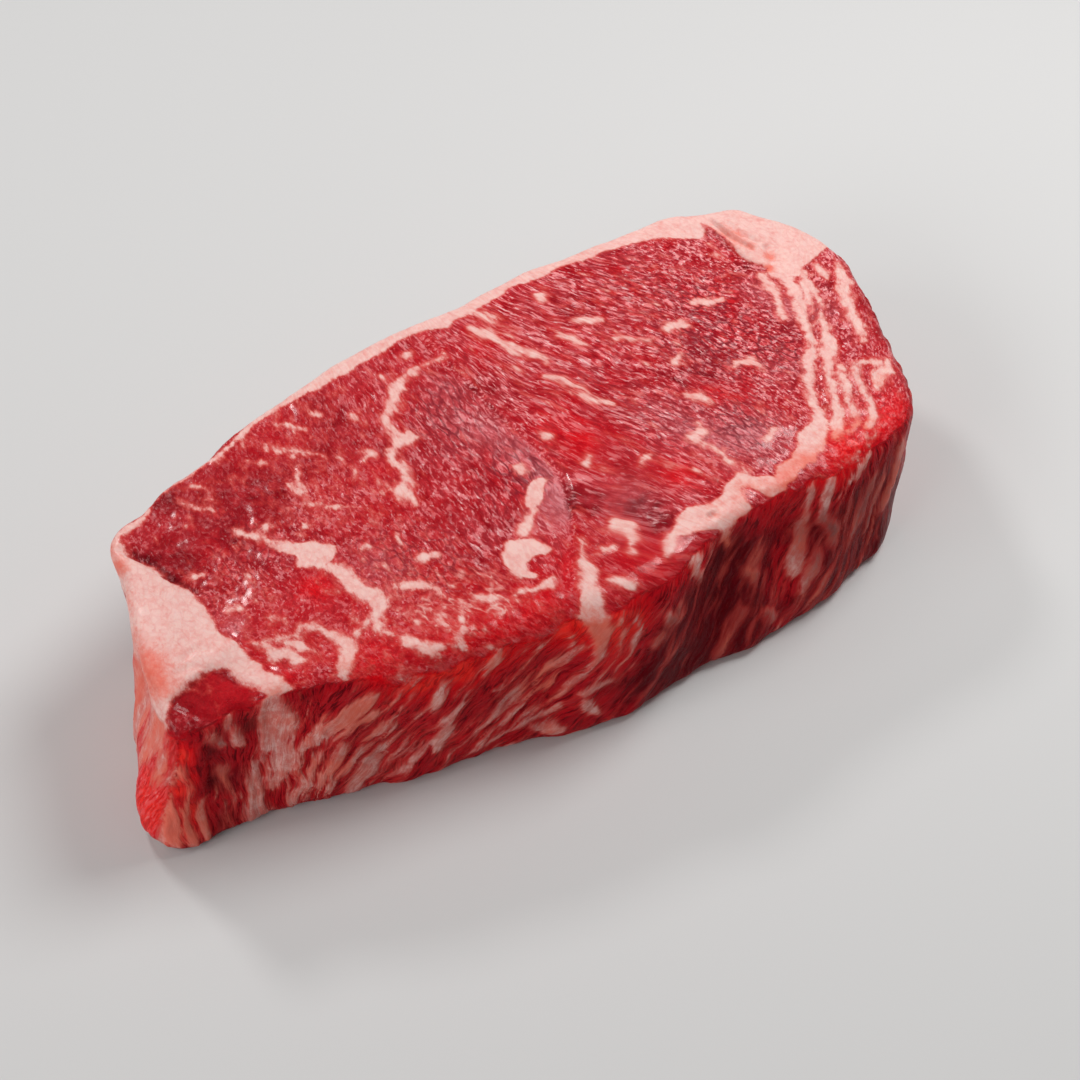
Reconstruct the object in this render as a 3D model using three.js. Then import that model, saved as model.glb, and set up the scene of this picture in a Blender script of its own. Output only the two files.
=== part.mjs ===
// A thick-cut raw sirloin steak, lying on one of its two cut faces.
//
// Millimetres, +Z up. X runs along the steak, from its narrow fat end (-X) to its round end (+X).
// Y runs from the marbled front wall (-Y) to the back edge, where the rind is (+Y).
// The origin is under the middle of the steak, on the surface that it rests on.
//
// The steak is one lofted solid. Its outline is the edge of the upper cut face. From there the loft
// goes inwards over that face, and outwards, down the wall and in again under the steak. Each point
// of the outline also says how the wall below it leans and how its edge is rounded.
import * as THREE from 'three';

// Driving sizes
const THICKNESS = 42;
const FOOT_ROUNDING = 3;
const CORE_START = new THREE.Vector2(-62, -2);
const CORE_END = new THREE.Vector2(66, 2);
const DROOP_REACH = 16;

// How finely the loft is cut
const STEPS_AROUND = 164;
const FACE_RINGS = [0.07, 0.2, 0.34, 0.48, 0.61, 0.73, 0.84, 0.93, 1];
const EDGE_STEPS = 4;
const WALL_STEPS = 8;
const FOOT_STEPS = 3;
const BASE_RINGS = [0.72, 0.4, 0.07];

// The edge of the upper face, walked anticlockwise as seen from above. Each row is
// [x, y, lean, droop, rounding]: how far the foot of the wall stands out beyond the edge, how far
// the edge lies below the middle of the face, and the radius that the edge is rounded to.
const LEFT_END = [
  [-90, 21, -1, -0.8, 2],
  [-90, 14, 2, -0.5, 2.5],
  [-93.5, 5, 4, 0, 2.5],
  [-96, -5, 6, 0, 2.5],
  [-98.5, -15, 8.5, 0.8, 3],
  [-99.5, -23, 9, 2.4, 4],
];
const FRONT = [
  [-95, -27.5, 2.5, 3.4, 4.5],
  [-90, -28, 1.8, 3.6, 4.5],
  [-84, -28.5, 3, 3, 4],
  [-77, -31, 2, 1.6, 4],
  [-68, -35, 0, 1, 5],
  [-56, -39, 0, 0.8, 6],
  [-44, -42, 0.5, 0.8, 6],
  [-31, -44.5, 1, 0.8, 6],
  [-18, -46.8, 1.5, 1, 7],
  [-6, -49.5, 3, 1.2, 7],
  [5, -51.2, 0.6, 1.4, 7],
  [16, -50, 4, 1.4, 7],
  [28, -47, 6.5, 1, 6],
  [41, -45, 9, 0.8, 5],
  [54, -45, 6.5, 1, 5],
  [67, -45, 4.5, 1.4, 5],
];
const RIGHT_END = [
  [79, -44, 2, 2, 5],
  [89, -40, -1, 2.6, 5],
  [95.6, -32, -4, 3, 5],
  [99.5, -22.5, -4.5, 3, 5],
  [103.2, -12.5, -4, 2.6, 5],
  [107.4, -1.5, -4, 2.2, 4],
  [110.6, 10, -4, 2, 4],
  [110, 21, -4, 1.6, 3],
  [106.5, 30, -3, 1, 3],
  [101.5, 35.5, -2, 0, 2.5],
  [98.5, 41, -3, -0.4, 2.5],
];
const BACK = [
  [90.5, 42.8, -2, -0.4, 2.5],
  [81.5, 48, -3, 0, 2.5],
  [69, 49.5, -3, 0, 3],
  [55, 50, -3, 0, 3],
  [41, 51.8, -3, 0, 3],
  [29, 50.6, -2, 0, 2.5],
  [17, 49, -2, 0, 2.5],
  [4, 50.2, -2, 0, 2.5],
  [-9, 50, -3, 0, 2.5],
  [-21, 48, -3, 0, 2.5],
  [-34, 44.5, -3, 0, 2.5],
  [-47, 42, -3, 0.3, 2],
  [-59, 36.8, -2, 0.3, 2],
  [-70, 34, -1, 0.3, 2],
  [-78, 30, 0, 0, 2],
  [-84, 28.5, -1, -0.5, 2],
  [-88, 25, -2, -1, 2],
];

// Soft folds in the front wall, as lines from an upper to a lower [x, z]. Depth is negative for a
// groove and positive for a bulge.
const FRONT_FOLDS = [
  { line: [[-97, 36], [-103, 4]], width: 5, depth: 1.2 },
  { line: [[-90, 32], [-95, 6]], width: 4, depth: -3 },
  { line: [[-80, 30], [-84, 8]], width: 9, depth: -2 },
  { line: [[-66, 26], [-70, 6]], width: 8, depth: 1.4 },
  { line: [[-40, 30], [-52, 4]], width: 6, depth: 1 },
  { line: [[-16, 36], [-34, 3]], width: 5, depth: -1 },
  { line: [[-3, 38], [-17, 4]], width: 6, depth: 1.8 },
  { line: [[10, 34], [2, 3]], width: 6, depth: 1.4 },
  { line: [[28, 32], [20, 6]], width: 12, depth: -3 },
  { line: [[46, 30], [40, 2]], width: 6, depth: -1.6 },
  { line: [[62, 32], [56, 8]], width: 12, depth: 2 },
  { line: [[80, 32], [70, 2]], width: 5, depth: -1 },
];

// Grooves and ridges of the narrow end wall, as lines from an upper to a lower [y, z]: the hollow
// below the lip of fat, and the layers of fat that stand upright there.
const END_FOLDS = [
  { line: [[24, 33], [18, 20]], width: 9, depth: -2.4 },
  { line: [[8, 36], [6, 6]], width: 3.5, depth: -0.8 },
  { line: [[0, 36], [-2, 6]], width: 3.5, depth: 0.8 },
  { line: [[-8, 36], [-11, 6]], width: 3.5, depth: -0.8 },
  { line: [[-16, 36], [-19, 6]], width: 4, depth: 0.8 },
];

// Relief of the upper face, as lines of [x, y]: the crease where two muscles meet, the seam that
// bounds the round end, the torn fold of fat at the back, and the low places between them.
const FACE_RELIEF = [
  { line: [[2, 46], [3, 22], [5, -16]], width: 6, depth: -1.1 },
  { line: [[-8, 30], [-5, -4]], width: 12, depth: 0.5 },
  { line: [[24, 34], [30, -2]], width: 14, depth: 0.5 },
  { line: [[88, 24], [72, -6], [68, -32]], width: 5, depth: -0.9 },
  { line: [[86, 36], [86, 25], [92, 19]], width: 3.5, depth: -1.6 },
  { line: [[91, 38], [93, 27]], width: 5, depth: 1.1 },
  { line: [[-78, 20], [-79, -6], [-74, -26]], width: 4, depth: -1.2 },
  { line: [[-89, 16], [-88, -4]], width: 6, depth: 0.6 },
  { line: [[-6, -30], [2, -44]], width: 7, depth: 0.6 },
];

// Slow waves that keep the faces from being flat, as [wavelength along, wavelength across, height]
const FACE_WAVES = [[61, 47, 0.3], [27, 33, 0.22], [14, 17, 0.12]];
const WALL_WAVES = [[43, 31, 0.4], [19, 23, 0.3], [11, 15, 0.15]];

// The front wall's slanted layers of lean and fat, and where the relief of the front wall and of the
// narrow end wall begins and how softly it fades in
const LAYER_SLANT = 0.75;
const LAYER_PITCH = 9;
const LAYER_DEPTH = 0.45;
const FRONT_WALL = { from: 18, fade: 8 };
const END_WALL = { from: 80, fade: 6 };

function smooth(t) {
  const u = THREE.MathUtils.clamp(t, 0, 1);
  return u * u * (3 - 2 * u);
}

// The point on the segment from a to b that is nearest to p.
function nearestOn(p, a, b) {
  const along = b.clone().sub(a);
  const share = THREE.MathUtils.clamp(p.clone().sub(a).dot(along) / along.lengthSq(), 0, 1);
  return a.clone().addScaledVector(along, share);
}

// A fold's share at p: 1 on its line, fading to 0 at its width.
function foldShare(p, line, width) {
  let nearest = Infinity;
  for (let i = 1; i < line.length; i += 1) {
    const on = nearestOn(p, new THREE.Vector2(...line[i - 1]), new THREE.Vector2(...line[i]));
    nearest = Math.min(nearest, on.distanceTo(p));
  }
  return smooth(1 - nearest / width);
}

function waves(list, a, b) {
  return list.reduce((sum, [along, across, height], i) => (
    sum + height * Math.sin((2 * Math.PI * a) / along + i) * Math.cos((2 * Math.PI * b) / across - 2 * i)
  ), 0);
}

function foldSum(folds, p) {
  return folds.reduce((sum, f) => sum + f.depth * foldShare(p, f.line, f.width), 0);
}

function faceRelief(p) {
  return foldSum(FACE_RELIEF, p) + waves(FACE_WAVES, p.x, p.y);
}

// How far the wall stands out at p, for a height z and a distance round the outline.
function wallRelief(p, z, round) {
  const onFront = smooth((-p.y - FRONT_WALL.from) / FRONT_WALL.fade);
  const onEnd = smooth((-p.x - END_WALL.from) / END_WALL.fade) * (1 - onFront);
  const layers = LAYER_DEPTH * Math.sin((2 * Math.PI * (round - LAYER_SLANT * z)) / LAYER_PITCH);
  const frontFolds = foldSum(FRONT_FOLDS, new THREE.Vector2(p.x, z));
  const endFolds = foldSum(END_FOLDS, new THREE.Vector2(p.y, z));
  return waves(WALL_WAVES, round, z) + onFront * (layers + frontFolds) + onEnd * endFolds;
}

// The outline and, on a second curve with the same parameter, the wall's lean, droop and rounding.
const rows = [...LEFT_END, ...FRONT, ...RIGHT_END, ...BACK];
const outline = new THREE.CatmullRomCurve3(rows.map(([x, y]) => new THREE.Vector3(x, y, 0)), true);
const trim = new THREE.CatmullRomCurve3(rows.map(([, , ...t]) => new THREE.Vector3(...t)), true);
const outlineLength = outline.getLength();

// One column of the loft: points from the middle of the upper face, over the edge, down the wall
// and back to the middle of the base.
function column(share) {
  const t = outline.getUtoTmapping(share);
  const rim = new THREE.Vector2().copy(outline.getPoint(t));
  const tangent = outline.getTangent(t);
  const out = new THREE.Vector2(tangent.y, -tangent.x).normalize();
  const { x: lean, y: droop, z: rounding } = trim.getPoint(t);
  const core = nearestOn(rim, CORE_START, CORE_END);
  const edge = rim.clone().addScaledVector(out, -rounding);
  const reach = edge.distanceTo(core);
  const points = [];

  const faceHeight = (p, s) => {
    const fromEdge = (1 - s) * reach;
    return THICKNESS + faceRelief(p) - droop * smooth(1 - fromEdge / DROOP_REACH);
  };
  FACE_RINGS.forEach((s) => {
    const p = core.clone().lerp(edge, s);
    points.push(new THREE.Vector3(p.x, p.y, faceHeight(p, s)));
  });

  const edgeTop = faceHeight(edge, 1);
  const wallTop = edgeTop - rounding;
  for (let k = 1; k <= EDGE_STEPS; k += 1) {
    const a = (k / EDGE_STEPS) * (Math.PI / 2);
    const z = wallTop + rounding * Math.cos(a);
    const bulge = wallRelief(rim, z, share * outlineLength) * Math.sin(a);
    const p = edge.clone().addScaledVector(out, rounding * Math.sin(a) + bulge);
    points.push(new THREE.Vector3(p.x, p.y, z));
  }

  const wallOut = (z) => lean * smooth((wallTop - z) / wallTop) + wallRelief(rim, z, share * outlineLength);
  for (let k = 1; k <= WALL_STEPS; k += 1) {
    const z = THREE.MathUtils.lerp(wallTop, FOOT_ROUNDING, k / WALL_STEPS);
    const p = rim.clone().addScaledVector(out, wallOut(z));
    points.push(new THREE.Vector3(p.x, p.y, z));
  }

  const foot = rim.clone().addScaledVector(out, wallOut(FOOT_ROUNDING) - FOOT_ROUNDING);
  for (let k = 1; k <= FOOT_STEPS; k += 1) {
    const a = (k / FOOT_STEPS) * (Math.PI / 2);
    const p = foot.clone().addScaledVector(out, FOOT_ROUNDING * Math.cos(a));
    points.push(new THREE.Vector3(p.x, p.y, FOOT_ROUNDING * (1 - Math.sin(a))));
  }
  BASE_RINGS.forEach((s) => {
    const p = core.clone().lerp(foot, s);
    points.push(new THREE.Vector3(p.x, p.y, 0));
  });
  return points;
}

// The two innermost rings are narrow loops round the core line. Each is closed by a strip of
// triangles between its front and back halves, which starts at the loop's left end.
function closeLoop(ring) {
  const n = ring.length;
  const wrap = (i) => (i + n) % n;
  const triangles = [];
  let front = ring.reduce((best, p, i) => (p.x < ring[best].x ? i : best), 0);
  let back = front;
  for (let made = 0; made < n - 2; made += 1) {
    const nextFront = wrap(front + 1);
    const nextBack = wrap(back - 1);
    const stepFront = ring[nextFront].distanceTo(ring[back]) < ring[front].distanceTo(ring[nextBack]);
    if (made === 0 || stepFront) {
      triangles.push([front, nextFront, made === 0 ? nextBack : back]);
      front = nextFront;
      back = made === 0 ? nextBack : back;
    } else {
      triangles.push([front, nextBack, back]);
      back = nextBack;
    }
  }
  return triangles;
}

function steakGeometry() {
  const columns = Array.from({ length: STEPS_AROUND }, (_, i) => column(i / STEPS_AROUND));
  const rings = columns[0].length;
  const positions = columns.flat().flatMap((p) => [p.x, p.y, p.z]);
  const at = (i, k) => (i % STEPS_AROUND) * rings + k;
  const index = [];
  for (let i = 0; i < STEPS_AROUND; i += 1) {
    for (let k = 0; k < rings - 1; k += 1) {
      const [a, b, c, d] = [at(i, k), at(i, k + 1), at(i + 1, k + 1), at(i + 1, k)];
      index.push(a, b, c, a, c, d);
    }
  }
  closeLoop(columns.map((c) => c[0])).forEach(([a, b, c]) => {
    index.push(at(a, 0), at(b, 0), at(c, 0));
  });
  closeLoop(columns.map((c) => c[rings - 1])).forEach(([a, b, c]) => {
    index.push(at(a, rings - 1), at(c, rings - 1), at(b, rings - 1));
  });

  const geometry = new THREE.BufferGeometry();
  geometry.setAttribute('position', new THREE.Float32BufferAttribute(positions, 3));
  geometry.setIndex(index);
  geometry.computeBoundingBox();
  const middle = geometry.boundingBox.getCenter(new THREE.Vector3());
  geometry.translate(-middle.x, -middle.y, -geometry.boundingBox.min.z);
  geometry.computeVertexNormals();
  return geometry;
}

const rawBeef = new THREE.MeshStandardMaterial({ color: 0xa3262b, roughness: 0.38, metalness: 0 });

const steak = new THREE.Mesh(steakGeometry(), rawBeef);
steak.name = 'steak';

const group = new THREE.Group();
group.add(steak);

export default group;
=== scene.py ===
"""A thick-cut raw sirloin steak on a pale floor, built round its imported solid.

Places and sizes on the steak are millimetres in the part's frame: +X from the narrow fat end to the
round end, +Y from the marbled front wall to the rind, +Z up, with the resting surface at z = 0.
Meshes are metres.
"""
import logging
import math
from dataclasses import dataclass, field
from enum import Enum

import bpy
import numpy as np
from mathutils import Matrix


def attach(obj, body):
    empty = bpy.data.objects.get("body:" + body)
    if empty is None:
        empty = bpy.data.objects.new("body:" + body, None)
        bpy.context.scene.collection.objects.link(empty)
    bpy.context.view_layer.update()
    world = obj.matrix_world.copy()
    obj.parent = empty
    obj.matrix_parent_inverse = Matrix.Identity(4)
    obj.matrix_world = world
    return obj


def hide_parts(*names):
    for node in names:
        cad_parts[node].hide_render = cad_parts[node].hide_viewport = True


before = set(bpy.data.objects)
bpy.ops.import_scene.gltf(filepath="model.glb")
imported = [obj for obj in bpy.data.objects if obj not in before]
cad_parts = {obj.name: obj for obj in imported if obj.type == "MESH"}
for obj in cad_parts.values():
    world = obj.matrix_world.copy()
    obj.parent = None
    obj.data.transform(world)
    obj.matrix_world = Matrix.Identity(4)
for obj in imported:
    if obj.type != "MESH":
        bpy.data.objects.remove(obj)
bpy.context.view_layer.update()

logging.basicConfig(level=logging.INFO, format="%(name)s: %(message)s")
log = logging.getLogger("steak")

MM = 0.001
NODE = "steak"
THICKNESS = 42.0
DEPTH_SLOWNESS = 0.3
FRAME_PIXELS = 1080
SENSOR_WIDTH = 36.0
FAR_OFF = 1e3
NOISE_ENTRIES = 4096
NOISE_STRIDES = (73856093, 19349663, 83492791)
OCTAVE_SHIFT = 17.3

# A trace's points are two coordinates and the band's half width, an outline's are its corners, and a
# spot is two coordinates, its reach and its strength. A curve is places in rising order, then the
# values there.
Colour = tuple[float, float, float]
Trace = tuple[tuple[float, float, float], ...]
Outline = tuple[tuple[float, float], ...]
Spot = tuple[float, float, float, float]
Curve = tuple[tuple[float, ...], tuple[float, ...]]


def linear(red: int, green: int, blue: int) -> Colour:
    """Turns a display colour into the linear one that the shaders use.

    Args:
        red, green, blue: The display colour, 0 to 255.

    Returns:
        The linear colour, 0 to 1.
    """
    shares = (value / 255 for value in (red, green, blue))
    return tuple(s / 12.92 if s <= 0.04045 else ((s + 0.055) / 1.055) ** 2.4 for s in shares)


def ease(values: np.ndarray, low: float, high: float) -> np.ndarray:
    """Eases values from 0 at low to 1 at high, which may be the smaller of the two.

    Args:
        values: The values to ease.
        low: Where the result is 0.
        high: Where the result is 1.

    Returns:
        The eased values.
    """
    share = np.clip((values - low) / (high - low), 0.0, 1.0)
    return share * share * (3 - 2 * share)


def lumps(points: np.ndarray, sizes: tuple[float, float, float], seed: int, octaves: int = 1) -> np.ndarray:
    """Smooth seeded noise.

    Args:
        points: Places, one row each.
        sizes: How long one lump is along each of the three axes.
        seed: Which noise.
        octaves: How many finer copies are added, each of half the size and about half the height.

    Returns:
        Heights, about -1 to 1.
    """
    table = np.random.default_rng(seed).random(NOISE_ENTRIES) * 2 - 1
    total = np.zeros(len(points))
    scale = 1.0 / np.array(sizes)
    height = 1.0
    for octave in range(octaves):
        place = points * scale + OCTAVE_SHIFT * octave
        cell = np.floor(place).astype(np.int64)
        part = place - cell
        part = part * part * (3 - 2 * part)
        for corner in range(8):
            step = np.array([corner & 1, corner >> 1 & 1, corner >> 2 & 1])
            at = (cell + step) * NOISE_STRIDES
            entry = (at[:, 0] ^ at[:, 1] ^ at[:, 2]) % NOISE_ENTRIES
            weight = np.prod(np.where(step == 1, part, 1 - part), axis=1)
            total += height * weight * table[entry]
        scale = scale * 2
        height *= 0.5
    return total


def trace_edge(places: np.ndarray, trace: Trace) -> np.ndarray:
    """How far places lie outside a drawn band.

    Args:
        places: Places on one side of the steak, two columns.
        trace: The band's middle line, each point with the band's half width there.

    Returns:
        Distances to the band's edge, negative inside it.
    """
    nearest = np.full(len(places), FAR_OFF)
    for (ax, ay, a_half), (bx, by, b_half) in zip(trace, trace[1:]):
        start = np.array([ax, ay])
        along = np.array([bx, by]) - start
        share = np.clip((places - start) @ along / (along @ along), 0, 1)
        away = np.linalg.norm(places - start - share[:, None] * along, axis=1)
        nearest = np.minimum(nearest, away - (a_half + (b_half - a_half) * share))
    return nearest


def area_edge(places: np.ndarray, outline: Outline) -> np.ndarray:
    """How far places lie outside a closed outline.

    Args:
        places: Places on one side of the steak, two columns.
        outline: The outline's corners, in order.

    Returns:
        Distances to the outline, negative inside it.
    """
    nearest = np.full(len(places), FAR_OFF)
    inside = np.zeros(len(places), bool)
    for (ax, ay), (bx, by) in zip(outline, outline[1:] + outline[:1]):
        start = np.array([ax, ay])
        along = np.array([bx, by]) - start
        share = np.clip((places - start) @ along / (along @ along), 0, 1)
        nearest = np.minimum(nearest, np.linalg.norm(places - start - share[:, None] * along, axis=1))
        if ay != by:
            crosses = (ay > places[:, 1]) != (by > places[:, 1])
            inside ^= crosses & (places[:, 0] < ax + (places[:, 1] - ay) * (bx - ax) / (by - ay))
    return np.where(inside, -nearest, nearest)


def spot_sum(places: np.ndarray, spots: tuple[Spot, ...]) -> np.ndarray:
    """Adds up soft round spots.

    Args:
        places: Places on one side of the steak, two columns.
        spots: Each spot's two coordinates, its reach and its strength.

    Returns:
        The sum of the spots at each place.
    """
    total = np.zeros(len(places))
    for x, y, reach, strength in spots:
        away = np.hypot(places[:, 0] - x, places[:, 1] - y)
        total += strength * np.exp(-((away / reach) ** 2))
    return total


@dataclass
class Surface:
    """What one side of the steak says about each point of the mesh.

    All but the grain may be given as one number for every point.

    Attributes:
        grain: The place across the grain, along it and into the meat, three columns. Along it the
            numbers run slower, so that patterns read there are drawn out.
        fat_edge: Millimetres to the nearest edge of fat, negative inside the fat.
        relief: Millimetres that the point moves outwards.
        tone: How the lean runs from dark, -1, to bright red, 1. Besides its own colour it holds
            painted shade on the front wall and in the grooves, and painted light under the front
            wall's upper edge and on its corner.
        salmon: How salmon the fat is, from 0, pale, to 1, salmon.
        haze: How much the lean's fibres are drawn in milky pink, 0 to 1: partly their own milky
        pink, partly painted sheen and highlights of the wet surface.
        marbling: How much of a fine net of fat runs through the lean, 0 to 1.
        sheen: The share of the dull purple sheen, a painted sheen, 0 to 1.
        wrinkles: How deep the wrinkles between the fibres are, and how much painted shade darkens
        them, 0 to 1.
        calm: 0 where the grain turns sharply, so that no pattern may follow it there, otherwise 1.
    """

    grain: np.ndarray
    fat_edge: np.ndarray
    relief: np.ndarray
    tone: np.ndarray
    salmon: np.ndarray
    haze: np.ndarray | float
    marbling: np.ndarray | float
    sheen: np.ndarray | float = 0.0
    wrinkles: np.ndarray | float = 0.0
    calm: np.ndarray | float = 1.0

    MIXED = ("fat_edge", "relief", "tone", "salmon", "sheen", "haze", "marbling", "wrinkles", "calm")
    SETTLED = (0.62, 0.9)

    def __post_init__(self) -> None:
        """Spreads single numbers over all points."""
        for name in self.MIXED:
            setattr(self, name, np.broadcast_to(getattr(self, name), len(self.grain)))

    @classmethod
    def blend(cls, parts: list[tuple["Surface", np.ndarray]]) -> "Surface":
        """Mixes several sides.

        Args:
            parts: Each side with its share at each point. The shares add up to 1.

        Returns:
            The mixed side. Its grain is that of the side with the largest share.
        """
        mixed = {name: sum(getattr(side, name) * share for side, share in parts) for name in cls.MIXED}
        shares = np.stack([share for _, share in parts])
        settled = ease(shares.max(0), *cls.SETTLED)
        mixed["calm"] *= settled
        mixed["haze"] *= settled
        grains = np.stack([side.grain for side, _ in parts])
        return cls(grains[shares.argmax(0), np.arange(shares.shape[1])], **mixed)


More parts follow.
